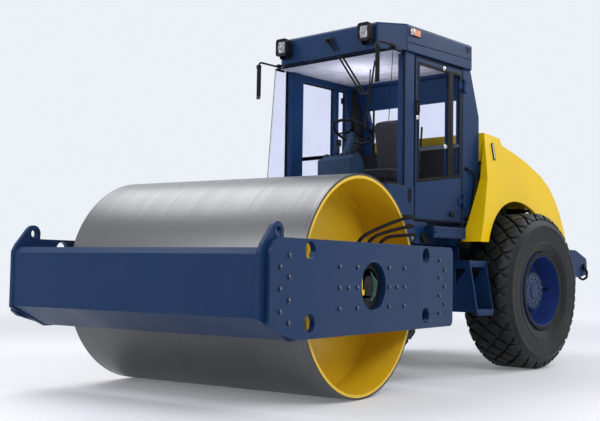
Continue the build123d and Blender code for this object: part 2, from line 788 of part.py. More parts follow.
# rear shell: corner panels that bulge back, with the rear wall between them
rear_profile = ((door_rear, cab_floor), (-900, cab_floor + 40), (-1030, 1560), (-1110, 1840),
                (-1110, 2380), (-955, roof_bottom), (door_rear, roof_bottom))
rear_glass_bottom = 1970.0
rear_glass_half_width = cab_half_width - 140
with BuildPart() as cab_rear:
    with BuildSketch(lengthwise(cab_half_width)):
        with BuildLine():
            Polyline(*rear_profile, close=True)
        make_face()
    extrude(amount=2 * cab_half_width)
    with BuildSketch(lengthwise(cab_half_width - cab_wall)):
        with BuildLine():
            Polyline((door_rear + 5, cab_floor + 45), (-870, cab_floor + 85), (-985, 1580),
                     (-1065, 1850), (-1065, 2370), (-920, roof_bottom - 45),
                     (door_rear + 5, roof_bottom - 45), close=True)
        make_face()
    extrude(amount=2 * (cab_half_width - cab_wall), mode=Mode.SUBTRACT)
    with BuildSketch(crosswise(-1200)):
        with Locations((0, (rear_glass_bottom + roof_bottom - 120) / 2)):
            Rectangle(2 * rear_glass_half_width, roof_bottom - 120 - rear_glass_bottom)
    extrude(amount=200, mode=Mode.SUBTRACT)
    for _, side in sides:
        for hinge_level in hinge_levels:
            for below in (hinge_level - 60, hinge_level + 31):
                with BuildSketch(level(below)):
                    with Locations((hinge_x, side * hinge_y)):
                        Circle(14)
                    with Locations((hinge_x - 33, side * (cab_half_width + 5))):
                        Rectangle(60, 10)
                extrude(amount=29)
            with BuildSketch(level(hinge_level - 60)):
                with Locations((hinge_x, side * hinge_y)):
                    Circle(hinge_pin_radius)
            extrude(amount=120)
cab_rear.part.label = "cab_rear"
tractor_pieces.append(cab_rear.part)

# roof
with BuildPart() as roof:
    with BuildSketch(level(roof_bottom)):
        with BuildLine():
            Polyline((roof_rear, -roof_half_width), (roof_shoulder, -roof_half_width),
                     (roof_front, -roof_nose_half_width), (roof_front, roof_nose_half_width),
                     (roof_shoulder, roof_half_width), (roof_rear, roof_half_width), close=True)
        make_face()
    extrude(amount=roof_top - roof_bottom)
    fillet(roof.edges().filter_by(Axis.Z), 30)
    fillet(roof.faces().sort_by(Axis.Z)[-1].edges(), 25)
    with BuildSketch(level(roof_bottom)):
        with Locations((-430, 0)):
            Rectangle(900, 2 * (cab_half_width - 70))
    extrude(amount=roof_depth - 60, mode=Mode.SUBTRACT)
roof.part.label = "roof"
tractor_pieces.append(roof.part)

# windscreen: a front pane that leans back and two corner panes
screen_half_width = cab_half_width - 14
screen_foot = bay_bottom - 10
with BuildPart() as windscreen:
    with BuildSketch(lengthwise(screen_half_width)):
        with BuildLine():
            Polyline((screen_foot - glass_wall, screen_bottom), (screen_foot, screen_bottom),
                     (bay_top, screen_top), (bay_top - glass_wall, screen_top), close=True)
        make_face()
    extrude(amount=2 * screen_half_width)
windscreen.part.label = "windscreen"
tractor_pieces.append(windscreen.part)

for name, side in sides:
    with BuildPart() as corner_pane:
        with BuildSketch(lengthwise(side * screen_half_width)):
            with BuildLine():
                Polyline((post_front, screen_bottom), (screen_foot - glass_wall, screen_bottom),
                         (bay_top - glass_wall, screen_top), (post_front, screen_top), close=True)
            make_face()
        extrude(amount=side * glass_wall)
    corner_pane.part.label = f"corner_pane_{name}"
    tractor_pieces.append(corner_pane.part)

with BuildPart() as rear_window:
    with BuildSketch(crosswise(-1100)):
        with Locations((0, (rear_glass_bottom + roof_bottom - 120) / 2)):
            Rectangle(2 * rear_glass_half_width, roof_bottom - 120 - rear_glass_bottom)
    extrude(amount=glass_wall)
rear_window.part.label = "rear_window"
tractor_pieces.append(rear_window.part)

# doors, hinged at the rear post
door_gap = 6.0
window_top = door_top - 60
bar_half_height = 19.0
door_panes = (            # front edge, rear edge, height of the sill at each
    (-110, -590, sill, sill + 67),
    (-650, -780, sill + 75, sill + 93),
)
middle_bar = ((-105, sill + 272), (-785, sill + 381))
for name, side in sides:
    with BuildPart() as door:
        with BuildSketch(lengthwise(side * cab_half_width)):
            with BuildLine():
                Polyline((door_front - door_gap, door_bottom), (door_front - door_gap, door_top),
                         (door_rear + door_gap, door_top), (door_rear + door_gap, door_bottom),
                         close=True)
            make_face()
            for pane_front, pane_rear, front_sill, rear_sill in door_panes:
                with BuildLine():
                    Polyline((pane_front, front_sill), (pane_front, window_top),
                             (pane_rear, window_top), (pane_rear, rear_sill), close=True)
                make_face(mode=Mode.SUBTRACT)
        extrude(amount=side * cab_wall)
        # bar across the panes, in front of the glass
        with BuildSketch(lengthwise(side * (cab_half_width - 8))):
            with BuildLine():
                Polyline((middle_bar[0][0], middle_bar[0][1] - bar_half_height),
                         (middle_bar[0][0], middle_bar[0][1] + bar_half_height),
                         (middle_bar[1][0], middle_bar[1][1] + bar_half_height),
                         (middle_bar[1][0], middle_bar[1][1] - bar_half_height), close=True)
            make_face()
        extrude(amount=side * 10)
        for hinge_level in hinge_levels:
            with BuildSketch(level(hinge_level - 30)):
                with Locations((hinge_x, side * hinge_y)):
                    Circle(14)
                with Locations((hinge_x + 43, side * (cab_half_width + 5))):
                    Rectangle(70, 10)
                with Locations((hinge_x, side * hinge_y)):
                    Circle(hinge_pin_radius + running_gap, mode=Mode.SUBTRACT)
            extrude(amount=60)
    door.part.label = f"door_{name}"
    tractor_pieces.append(door.part)
    with BuildPart() as door_glass:
        with BuildSketch(lengthwise(side * (cab_half_width - 18))):
            for pane_front, pane_rear, front_sill, rear_sill in door_panes:
                with BuildLine():
                    Polyline((pane_front, front_sill), (pane_front, window_top),
                             (pane_rear, window_top), (pane_rear, rear_sill), close=True)
                make_face()
        extrude(amount=side * glass_wall)
    door_glass.part.label = f"door_glass_{name}"
    tractor_pieces.append(door_glass.part)

# ---------------------------------------------------------------- inside the cab
with BuildPart() as seat_base:
    with BuildSketch(level(floor_top)):
        with Locations((-520, 0)):
            Rectangle(420, 420)
    extrude(amount=340)
seat_base.part.label = "seat_base"
tractor_pieces.append(seat_base.part)

with BuildPart() as seat:
    with BuildSketch(lengthwise(250)):
        with BuildLine():
            Polyline((-280, floor_top + 340.3), (-760, floor_top + 340.3), (-860, floor_top + 980),
                     (-760, floor_top + 990), (-660, floor_top + 480), (-280, floor_top + 460),
                     close=True)
        make_face()
    extrude(amount=500)
seat.part.label = "seat"
tractor_pieces.append(seat.part)

# dash with the steering column; the wheel leans back towards the driver
wheel_x = -80.0
wheel_level = floor_top + 780
wheel_lean = 28.0
ring_radius = 190.0
dash_depth = 160.0
dash_height = 500.0
dash_x = 120.0
wheel_plane = Plane(origin=(wheel_x, 0, wheel_level), x_dir=(0, 1, 0),
                    z_dir=(-sin(radians(wheel_lean)), 0, cos(radians(wheel_lean))))
with BuildPart() as console:
    with BuildSketch(lengthwise(dash_depth + 30)):
        with BuildLine():
            Polyline((dash_x - dash_depth / 2, floor_top), (dash_x + dash_depth / 2, floor_top),
                     (dash_x + dash_depth / 2, floor_top + dash_height),
                     (dash_x - 40, floor_top + dash_height + 60),
                     (dash_x - dash_depth / 2 - 40, floor_top + dash_height - 20), close=True)
        make_face()
    extrude(amount=2 * (dash_depth + 30))
    with BuildSketch(wheel_plane.offset(-12)):
        Circle(32)
    extrude(amount=-290)
console.part.label = "console"
tractor_pieces.append(console.part)

with BuildPart() as steering_wheel:
    with BuildSketch(Plane(origin=wheel_plane.origin, x_dir=(0, 1, 0),
                           z_dir=wheel_plane.x_dir.cross(wheel_plane.z_dir))):
        with Locations((ring_radius, 0)):
            RegularPolygon(14, 6)
    revolve(axis=Axis(wheel_plane.origin, wheel_plane.z_dir))
    with BuildSketch(wheel_plane.offset(-12)):
        Circle(45)
    extrude(amount=24)
    with BuildSketch(wheel_plane.offset(-7)):
        with PolarLocations(ring_radius / 2, 3):
            Rectangle(ring_radius - 10, 24)
    extrude(amount=14)
steering_wheel.part.label = "steering_wheel"
tractor_pieces.append(steering_wheel.part)

# lever stand beside the seat
with BuildPart() as lever_stand:
    with BuildSketch(lengthwise(-290)):
        with BuildLine():
            Polyline((-650, floor_top), (-260, floor_top), (-210, floor_top + 470),
                     (-330, floor_top + 560), (-650, floor_top + 540), close=True)
        make_face()
    extrude(amount=140)
    with BuildSketch(level(floor_top + 500)):
        with Locations((-300, -360)):
            Circle(11)
    extrude(amount=230)
    with BuildSketch(level(floor_top + 700)):
        with Locations((-300, -360)):
            RegularPolygon(26, 8)
    extrude(amount=60)
lever_stand.part.label = "lever_stand"
tractor_pieces.append(lever_stand.part)

# ---------------------------------------------------------------- hood


def hood_form(inset):
    """The hood's outer form, or the hollow inside it when inset is its wall.

    The plan narrows towards the rear and the sides lean in; the side profile cuts it off.
    """
    with BuildPart() as form:
        with BuildSketch(level(hood_sill - inset)):
            with BuildLine():
                Polyline((hood_front + 400, 980 - inset), (hood_rear - 400, 785 - inset),
                         (hood_rear - 400, -785 + inset), (hood_front + 400, -980 + inset),
                         close=True)
            make_face()
        extrude(amount=1200, taper=9.6)
        with BuildSketch(lengthwise(1200)):
            with BuildLine():
                Polyline((hood_front - inset, hood_sill - inset), (-865 - inset, 1390),
                         (-1065 - inset, 1790), (-1130 - inset, 2235 - inset),
                         (-1455, 2215 - inset), (-1480 + inset / 3, 2150 - inset),
                         (-1760, 2093 - inset), (-2000, 2029 - inset),
                         (hood_rear + 395, 1915 - inset),
                         (hood_rear + 210 + inset / 2, 1800 - inset / 2),
                         (hood_rear + 105 + inset, 1655), (hood_rear + 45 + inset, 1526),
                         (hood_rear + inset, 1344), (hood_rear + inset, hood_sill - inset),
                         close=True)
            make_face()
        extrude(amount=2400, mode=Mode.INTERSECT)
    return form.part


# the rear wall's grille: its slope is the profile's between these heights
grille_half_width = 430.0
grille_levels = (1270.0, 1344.0, 1526.0, 1600.0)
grille_slats = [grille_levels[0] + 2 + 42 * row for row in range(8)]


def grille_x(z):
    """Lengthwise place of the hood's rear face at height z, over the grille."""
    if z < 1344:
        return hood_rear
    if z < 1526:
        return hood_rear + 45 * (z - 1344) / (1526 - 1344)
    return hood_rear + 45 + 60 * (z - 1526) / (1655 - 1526)


with BuildPart() as hood:
    add(hood_form(0))
    add(hood_form(hood_wall), mode=Mode.SUBTRACT)
    with BuildSketch(crosswise(hood_rear - 20)):
        with Locations((0, (grille_levels[0] + grille_levels[-1]) / 2)):
            Rectangle(2 * grille_half_width, grille_levels[-1] - grille_levels[0])
    extrude(amount=220, mode=Mode.SUBTRACT)
    with BuildSketch(lengthwise(1200)):
        with Locations((axle_x - arch_back_set, wheel_radius)):
            Circle(arch_radius)
    extrude(amount=2400, mode=Mode.SUBTRACT)
    # the front is open behind the cab, whose rear corners stand between the hood's sides
    with BuildSketch(crosswise(-1122)):
        with Locations((0, 1700)):
            Rectangle(2 * (hinge_y + 29), 1300)
    extrude(amount=600, mode=Mode.SUBTRACT)
    with BuildSketch(crosswise(-1240)):
        with Locations((0, 1640)):
            Rectangle(2 * (cab_half_width - 100), 1000)
    extrude(amount=600, mode=Mode.SUBTRACT)
    # hinge lugs, each in a notch of the rear wall
    for _, side in sides:
        with BuildSketch(level(hood_sill - 5)):
            with Locations((hood_rear + 15, side * hood_hinge_y)):
                Rectangle(40, 124)
        extrude(amount=35, mode=Mode.SUBTRACT)
        with BuildSketch(lengthwise(side * (hood_hinge_y - 35))):
            with Locations((hood_hinge_x, hood_hinge_z)):
                Circle(14)
            with Locations((hood_hinge_x, hood_hinge_z + 20)):
                Rectangle(28, 40)
            with Locations((hood_hinge_x, hood_hinge_z)):
                Circle(hood_pin_radius + running_gap, mode=Mode.SUBTRACT)
        extrude(amount=-side * 70)
hood.part.label = "hood"
tractor_pieces.append(hood.part)

# grille of slats in the sloping rear wall
with BuildPart() as hood_grille:
    for post_y in (-grille_half_width + 8, 0, grille_half_width - 8):
        with BuildSketch(lengthwise(post_y + 8)):
            with BuildLine():
                Polyline(*((grille_x(post_z) + 6, post_z) for post_z in grille_levels),
                         *((grille_x(post_z) + 34, post_z) for post_z in grille_levels[::-1]),
                         close=True)
            make_face()
        extrude(amount=16)
    for slat_z in grille_slats:
        with BuildSketch(lengthwise(grille_half_width)):
            with BuildLine():
                Polyline((grille_x(slat_z), slat_z), (grille_x(slat_z) + 24, slat_z + 22),
                         (grille_x(slat_z) + 24, slat_z + 32), (grille_x(slat_z), slat_z + 10),
                         close=True)
            make_face()
        extrude(amount=2 * grille_half_width)
hood_grille.part.label = "hood_grille"
tractor_pieces.append(hood_grille.part)

# ---------------------------------------------------------------- lamps, mirrors, rails
lamp_y = roof_nose_half_width - 75
lamp_level = roof_top - 95
with BuildPart() as work_lamps:
    for _, side in sides:
        # bracket, housing and a rim around the sunken lens
        with BuildSketch(crosswise(roof_front)):
            with Locations((side * lamp_y, lamp_level - 55)):
                Rectangle(70, 40)
        extrude(amount=40)
        with BuildSketch(crosswise(roof_front + 18)):
            with Locations((side * lamp_y, lamp_level)):
                RectangleRounded(124, 150, 22)
        extrude(amount=70, taper=-4)
        with BuildSketch(crosswise(roof_front + 88)):
            with Locations((side * lamp_y, lamp_level)):
                RectangleRounded(108, 134, 18)
        extrude(amount=-12, mode=Mode.SUBTRACT)
work_lamps.part.label = "work_lamps"
tractor_pieces.append(work_lamps.part)

with BuildPart() as turn_lamps:
    for _, side in sides:
        with BuildSketch(level(roof_top - 92)):
            with BuildLine():
                Polyline((-85, side * roof_half_width), (60, side * roof_half_width),
                         (40, side * (roof_half_width + 16)), (-75, side * (roof_half_width + 16)),
                         close=True)
            make_face()
        extrude(amount=54)
turn_lamps.part.label = "turn_lamps"
tractor_pieces.append(turn_lamps.part)

with BuildPart() as tail_lamps:
    for _, side in sides:
        with BuildSketch(crosswise(bumper_back)):
            with Locations((side * (bumper_half_width - 230), hood_sill - 105)):
                Rectangle(190, 90)
        extrude(amount=-28, taper=12)
tail_lamps.part.label = "tail_lamps"
tractor_pieces.append(tail_lamps.part)

# handrails beside the doors, bent tubes that stand off the cab's rear corners
rail_radius = 10.0
rail_y = cab_half_width + 26
rail_bends = ((-885, 1870), (-1034, 1826), (-945, 1480), (-868, 1406))     # x, z
with BuildPart() as handrails:
    for _, side in sides:
        rail_points = [(x, side * rail_y, z) for x, z in rail_bends]
        with BuildLine() as rail:
            FilletPolyline((rail_bends[0][0], side * cab_half_width, rail_bends[0][1]),
                           *rail_points,
                           (rail_bends[-1][0], side * cab_half_width, rail_bends[-1][1]),
                           radius=14)
        with BuildSketch(Plane(origin=rail.line @ 0, z_dir=rail.line % 0)):
            Circle(rail_radius)
        sweep()
handrails.part.label = "handrails"
tractor_pieces.append(handrails.part)

# mirrors: a bent bar from the roof's front corner and a head that hangs from it
mirror_x = roof_front + 160
mirror_y = roof_nose_half_width + 135
mirror_z = roof_bottom + 18
mirror_turn = {"left": 37.5, "right": 45.5}     # degrees, the head's width from +X
mirror_width = 170.0
mirror_wall = 34.0
mirror_height = 275.0
bar_radius = 9.0
corner_x = (roof_shoulder + roof_front) / 2
corner_y = (roof_half_width + roof_nose_half_width) / 2
corner_length = hypot(roof_front - roof_shoulder, roof_half_width - roof_nose_half_width)
bar_out_x = 70 * (roof_half_width - roof_nose_half_width) / corner_length
bar_out_y = 70 * (roof_front - roof_shoulder) / corner_length
for name, side in sides:
    with BuildPart() as mirror:
        with BuildLine() as bar:
            FilletPolyline((corner_x, side * corner_y, mirror_z),
                           (corner_x + bar_out_x, side * (corner_y + bar_out_y), mirror_z),
                           (mirror_x, side * mirror_y, mirror_z),
                           (mirror_x, side * mirror_y, mirror_z - 70), radius=40)
        with BuildSketch(Plane(origin=bar.line @ 0, z_dir=bar.line % 0)):
            Circle(bar_radius)
        sweep()
        with BuildSketch(level(mirror_z - 60 - mirror_height)):
            with Locations((mirror_x, side * mirror_y)):
                Rectangle(mirror_width, mirror_wall, rotation=mirror_turn[name])
        extrude(amount=mirror_height)
        chamfer(mirror.edges().filter_by(Axis.Z), 7)
    mirror.part.label = f"mirror_{name}"
    tractor_pieces.append(mirror.part)

# ---------------------------------------------------------------- drive hoses
hose_length = 0.0
with BuildPart() as hoses:
    for hose_points in hose_runs:
        radii = bend_radii(hose_points)
        print("hose bends", [round(radius) for radius in radii])
        with BuildLine() as hose:
            FilletPolyline(*hose_points, radius=radii)
        with BuildSketch(Plane(origin=hose.line @ 0, z_dir=hose.line % 0)):
            Circle(hose_radius)
        sweep()
        hose_length += sum(edge.length for edge in hose.edges())
print("hose volume", round(hoses.part.volume), "section by length",
      round(pi * hose_radius ** 2 * hose_length))
hoses.part.label = "hoses"
drum_pieces.append(hoses.part)

# ---------------------------------------------------------------- files
os.makedirs("parts", exist_ok=True)
for pieces, place in ((drum_pieces, drum_place), (tractor_pieces, tractor_place)):
    for piece in pieces:
        placed = piece.moved(place)
        placed.label = piece.label
        export_step(placed, f"parts/{piece.label}.step")
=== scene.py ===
"""Visual model of a single-drum road roller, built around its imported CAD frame.

The machine is drawn in metres in two local frames that meet at the steering pivot: the tractor's
and the drum frame's, which stands turned to the left at rest (+X forward, +Y left, +Z up). Each
class makes one sub-assembly and hangs its pieces on the CAD bodies.
"""

import json
import logging
from dataclasses import dataclass
from enum import Enum, IntEnum
from math import atan2, cos, exp, hypot, pi, radians, sin, tan
from typing import Iterable, Sequence

import bmesh
import bpy
from mathutils import Matrix, Vector

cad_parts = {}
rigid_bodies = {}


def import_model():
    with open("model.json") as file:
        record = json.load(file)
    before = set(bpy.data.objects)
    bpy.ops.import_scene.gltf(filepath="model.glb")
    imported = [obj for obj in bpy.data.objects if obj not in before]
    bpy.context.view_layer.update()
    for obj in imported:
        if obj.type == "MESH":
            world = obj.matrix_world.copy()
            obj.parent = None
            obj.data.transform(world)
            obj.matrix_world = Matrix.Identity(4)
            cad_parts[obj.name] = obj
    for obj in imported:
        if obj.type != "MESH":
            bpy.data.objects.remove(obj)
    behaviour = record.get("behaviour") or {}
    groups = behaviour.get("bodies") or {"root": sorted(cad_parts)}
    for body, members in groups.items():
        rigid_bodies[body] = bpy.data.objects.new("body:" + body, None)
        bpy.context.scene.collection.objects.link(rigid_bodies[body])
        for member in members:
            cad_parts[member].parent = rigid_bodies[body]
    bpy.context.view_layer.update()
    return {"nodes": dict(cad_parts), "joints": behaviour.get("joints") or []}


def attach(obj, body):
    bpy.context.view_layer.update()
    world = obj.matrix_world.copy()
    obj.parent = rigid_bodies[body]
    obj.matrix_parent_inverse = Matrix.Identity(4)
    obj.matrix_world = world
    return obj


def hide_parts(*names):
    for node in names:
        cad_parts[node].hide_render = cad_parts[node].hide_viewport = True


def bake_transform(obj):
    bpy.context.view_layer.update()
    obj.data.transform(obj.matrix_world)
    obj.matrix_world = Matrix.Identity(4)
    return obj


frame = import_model()

LOG = logging.getLogger("road_roller")

Point = Sequence[float]
Outline = list[tuple[float, float]]
Socket = bpy.types.NodeSocket
Tree = bpy.types.NodeTree
Node = bpy.types.Node
Value = float | Sequence[float] | Socket
Colour = tuple[float, float, float]
Pair = tuple[float, float]
Part = bmesh.types.BMesh

JOINTS = {joint["name"]: joint for joint in frame["joints"]}
STEER_AT_REST = radians(8)
PIVOT = Vector(JOINTS["steering_pivot"]["pos_m"])
TRACTOR = Matrix.Translation((PIVOT.x, PIVOT.y, 0))
DRUM_FRAME = TRACTOR @ Matrix.Rotation(STEER_AT_REST, 4, "Z")
DRUM_X = 1.55  # drum axis ahead of the pivot
DRUM_RADIUS = 0.8
AXLE_X = -1.58  # wheel axis from the pivot
WHEEL_RADIUS = 0.74
WHEEL_Y = 0.895


class Side(IntEnum):
    """A side of the machine, as the sign of its Y."""

    LEFT = 1
    RIGHT = -1

    def __format__(self, spec: str) -> str:
        """The side's name, as pieces and nodes have it."""
        return self.name.lower()


class Axis(Enum):
    """Which way a turned or extruded part points; each value turns local Z to it."""

    UP = Matrix.Identity(4)
    ALONG = Matrix(((0, 0, 1, 0), (1, 0, 0, 0), (0, 1, 0, 0), (0, 0, 0, 1)))
    ACROSS = Matrix(((1, 0, 0, 0), (0, 0, -1, 0), (0, 1, 0, 0), (0, 0, 0, 1)))


# -------------------- shader groups


class Sheet:
    """Adds and joins the nodes of one node tree.

    Args:
        tree: The node tree.
    """

    def __init__(self, tree: Tree) -> None:
        """Starts a sheet on the tree."""
        self.tree = tree

    def add(self, kind: str, inputs: dict | None = None, **settings: object) -> Node:
        """Adds a node.

        Args:
            kind: The node's type name.
            inputs: Values or output sockets for its inputs, by name or index.
            **settings: Attributes of the node itself.

        Returns:
            The new node.
        """
        node = self.tree.nodes.new(kind)
        for name, value in settings.items():
            setattr(node, name, value)
        for key, value in (inputs or {}).items():
            self.put(node.inputs[key], value)
        return node

    def put(self, socket: Socket, value: Value) -> None:
        """Sets an input to a value or joins an output to it.

        Args:
            socket: The input.
            value: A value, or the output that feeds it.
        """
        if isinstance(value, Socket):
            self.tree.links.new(value, socket)
        else:
            socket.default_value = value

    def feed(self, **inputs: Value) -> None:
        """Sets or joins inputs of the Principled shader, named with _ for a space."""
        for name, value in inputs.items():
            self.put(self.tree.nodes["Principled BSDF"].inputs[name.replace("_", " ")], value)

    def math(self, operation: str, first: Value, second: Value = 0.0, clamp: bool = False) -> Socket:
        """Adds a Math node and returns its output."""
        return self.add("ShaderNodeMath", {0: first, 1: second}, operation=operation,
                        use_clamp=clamp).outputs[0]

    def noise(self, vector: Value, scale: Value, detail: float = 3.0, roughness: float = 0.55) -> Socket:
        """Adds a noise texture and returns its value."""
        return self.add("ShaderNodeTexNoise", {"Vector": vector, "Scale": scale, "Detail": detail,
                                               "Roughness": roughness}).outputs["Fac"]

    def ramp(self, value: Value, low: float, high: float, to_low: float = 0.0,
             to_high: float = 1.0) -> Socket:
        """Maps a value smoothly from one range to another and returns the output."""
        return self.add("ShaderNodeMapRange",
                        {"Value": value, "From Min": low, "From Max": high, "To Min": to_low,
                         "To Max": to_high}, interpolation_type="SMOOTHSTEP").outputs["Result"]

    def mix(self, factor: Value, first: Value, second: Value) -> Socket:
        """Mixes two colours and returns the output."""
        return self.add("ShaderNodeMix", {0: factor, 6: first, 7: second}, data_type="RGBA").outputs[2]

    def place(self) -> Socket:
        """Returns the object coordinates' output."""
        return self.add("ShaderNodeTexCoord").outputs["Object"]

    def parts(self, vector: Value) -> list[Socket]:
        """Splits a vector and returns its three outputs."""
        return list(self.add("ShaderNodeSeparateXYZ", {0: vector}).outputs)

    def group(self, name: str, output: str = "", **inputs: float) -> Socket:
        """Adds a shared effect.

        Args:
            name: The effect.
            output: The output that is wanted; the first if empty.
            **inputs: Its own values.

        Returns:
            The output.
        """
        node = self.add("ShaderNodeGroup", inputs, node_tree=Effects.get(name))
        return node.outputs[output or 0]

    def bump(self, height: Value, strength: float, distance: float, normal: Socket | None = None) -> None:
        """Joins a bump to the shader's normal.

        Args:
            height: The bump's height.
            strength: How strong it is.
            distance: How deep it is, in metres.
            normal: The normal that it starts from.
        """
        inputs = {"Height": height, "Strength": strength, "Distance": distance}
        if normal is not None:
            inputs["Normal"] = normal
        self.feed(Normal=self.add("ShaderNodeBump", inputs).outputs[0])

    def seen(self) -> Socket:
        """Gives 1 for rays from the camera, off gloss and through glass, and 0 for light."""
        rays = self.add("ShaderNodeLightPath").outputs
        return self.math("MAXIMUM", rays["Is Camera Ray"],
                         self.math("MAXIMUM", rays["Is Glossy Ray"], rays["Is Transmission Ray"]))


class Effects:
    """The shared node groups. Each gives masks, values or normals and no shader."""

    _made: dict[str, Tree] = {}

    @classmethod
    def get(cls, name: str) -> Tree:
        """Returns the group called name and makes it on first use."""
        if name not in cls._made:
            cls._made[name] = getattr(cls, f"_{name}")()
        return cls._made[name]

    @staticmethod
    def _start(name: str, inputs: dict[str, float], outputs: Iterable[str]) -> tuple[Sheet, Node, Node]:
        """Starts a group.

        Args:
            name: The group's name.
            inputs: Its inputs with their values.
            outputs: Its outputs; the one called Normal is a vector.

        Returns:
            The sheet to draw on, and the group's input and output nodes.
        """
        tree = bpy.data.node_groups.new(name, "ShaderNodeTree")
        for label, value in inputs.items():
            socket = tree.interface.new_socket(label, in_out="INPUT", socket_type="NodeSocketFloat")
            socket.default_value = value
        for label in outputs:
            kind = "NodeSocketVector" if label == "Normal" else "NodeSocketFloat"
            tree.interface.new_socket(label, in_out="OUTPUT", socket_type=kind)
        sheet = Sheet(tree)
        return sheet, sheet.add("NodeGroupInput"), sheet.add("NodeGroupOutput")

    @classmethod
    def _edges(cls) -> Tree:
        """Draws rounded edge normals, and a broken mask of the edges where paint wears.

        Returns:
            The group.
        """
        sheet, given, out = cls._start("edges", {"Radius": 0.004, "Wear": 0.5}, ("Normal", "Worn"))
        bevel = sheet.add("ShaderNodeBevel", {"Radius": given.outputs["Radius"]}, samples=4)
        flat = sheet.add("ShaderNodeNewGeometry").outputs["Normal"]
        likeness = sheet.add("ShaderNodeVectorMath", {0: bevel.outputs[0], 1: flat},
                             operation="DOT_PRODUCT").outputs["Value"]
        edge = sheet.ramp(likeness, 0.97, 0.8)
        place = sheet.place()
        broken = sheet.ramp(sheet.noise(place, 9.0, 5.0), 0.52, 0.66)
        fine = sheet.ramp(sheet.noise(place, 70.0, 3.0), 0.42, 0.6)
        mask = sheet.math("MULTIPLY", sheet.math("MULTIPLY", edge, broken), fine)
        worn = sheet.math("MULTIPLY", mask, given.outputs["Wear"], clamp=True)
        sheet.put(out.inputs["Normal"], bevel.outputs[0])
        sheet.put(out.inputs["Worn"], worn)
        return sheet.tree

    @classmethod
    def _dust(cls) -> Tree:
        """Draws dust that lies on upward faces and climbs from the ground, in patches.

        Returns:
            The group.
        """
        sheet, given, out = cls._start("dust", {"Top": 1.0, "Amount": 0.3}, ("Mask",))
        place = sheet.place()
        height = sheet.parts(place)[2]
        low = sheet.math("SUBTRACT", 1.0, sheet.math("DIVIDE", height, given.outputs["Top"]), clamp=True)
        up = sheet.parts(sheet.add("ShaderNodeNewGeometry").outputs["Normal"])[2]
        lying = sheet.ramp(up, 0.3, 1.0, 0.0, 0.45)
        patches = sheet.ramp(sheet.noise(place, 3.5, 6.0, 0.62), 0.35, 0.75)
        fine = sheet.ramp(sheet.noise(place, 55.0, 2.0), 0.3, 0.7, 0.6, 1.0)
        amount = sheet.math("MULTIPLY", sheet.math("ADD", low, lying), given.outputs["Amount"])
        mask = sheet.math("MULTIPLY", sheet.math("MULTIPLY", patches, fine), amount, clamp=True)
        sheet.put(out.inputs["Mask"], mask)
        return sheet.tree

    @classmethod
    def _peel(cls) -> Tree:
        """Draws the fine waviness of sprayed paint and the grain of moulded parts.

        Returns:
            The group.
        """
        sheet, given, out = cls._start("peel", {"Scale": 160.0}, ("Height",))
        sheet.put(out.inputs["Height"], sheet.noise(sheet.place(), given.outputs["Scale"], 2.0, 0.5))
        return sheet.tree

    @classmethod
    def _blotches(cls) -> Tree:
        """Draws large and middle-sized unevenness, as in handled or weathered surfaces.

        Returns:
            The group.
        """
        sheet, given, out = cls._start("blotches", {"Scale": 3.0}, ("Value",))
        sheet.put(out.inputs["Value"], sheet.noise(sheet.place(), given.outputs["Scale"], 6.0, 0.6))
        return sheet.tree

    @classmethod
    def _rolled(cls) -> Tree:
        """Draws marks that run round the drum's axis, with the distances from its middle.

        Returns:
            The group.
        """
        sheet, given, out = cls._start("rolled", {"Fineness": 60.0}, ("Radius", "Marks", "Across"))
        centre = DRUM_FRAME @ Vector((DRUM_X, 0, DRUM_RADIUS))
        moved = sheet.add("ShaderNodeVectorMath", {0: sheet.place(), 1: centre},
                          operation="SUBTRACT").outputs[0]
        turned = sheet.add("ShaderNodeMapping",
                           {"Vector": moved, "Rotation": (0, 0, -STEER_AT_REST)}).outputs[0]
        x, y, z = sheet.parts(turned)
        radius = sheet.math("SQRT", sheet.math("ADD", sheet.math("MULTIPLY", x, x),
                                               sheet.math("MULTIPLY", z, z)))
        angle = sheet.math("MULTIPLY", sheet.math("ARCTAN2", z, x), 0.35)
        across = sheet.math("MULTIPLY", y, given.outputs["Fineness"])
        bent = sheet.add("ShaderNodeCombineXYZ",
                         {"X": across, "Y": angle, "Z": sheet.math("MULTIPLY", radius, 20.0)})
        marks = sheet.noise(bent.outputs[0], 1.0, 5.0, 0.6)
        for label, value in (("Radius", radius), ("Marks", marks), ("Across", y)):
            sheet.put(out.inputs[label], value)
        return sheet.tree

    @classmethod
    def _weave(cls) -> Tree:
        """Draws the threads of a woven cover, or the ribs of a lens.

        Returns:
            The group.
        """
        sheet, given, out = cls._start("weave", {"Count": 420.0}, ("Height",))
        x, y, z = (sheet.math("SINE", sheet.math("MULTIPLY", part, given.outputs["Count"]))
                   for part in sheet.parts(sheet.place()))
        sheet.put(out.inputs["Height"], sheet.math("ADD", sheet.math("MULTIPLY", x, y),
                                                   sheet.math("MULTIPLY", y, z)))
        return sheet.tree


# -------------------- finishes

FILLED: dict[str, bpy.types.Material] = {}
DUST: Colour = (0.42, 0.38, 0.32)
BARE_STEEL: Colour = (0.2, 0.19, 0.18)
RING_BLACK: Colour = (0.012, 0.012, 0.013)


def rgba(colour: Colour, gain: float = 1.0) -> tuple[float, ...]:
    """Multiplies a colour by gain and adds full opacity."""
    return (*(part * gain for part in colour), 1.0)


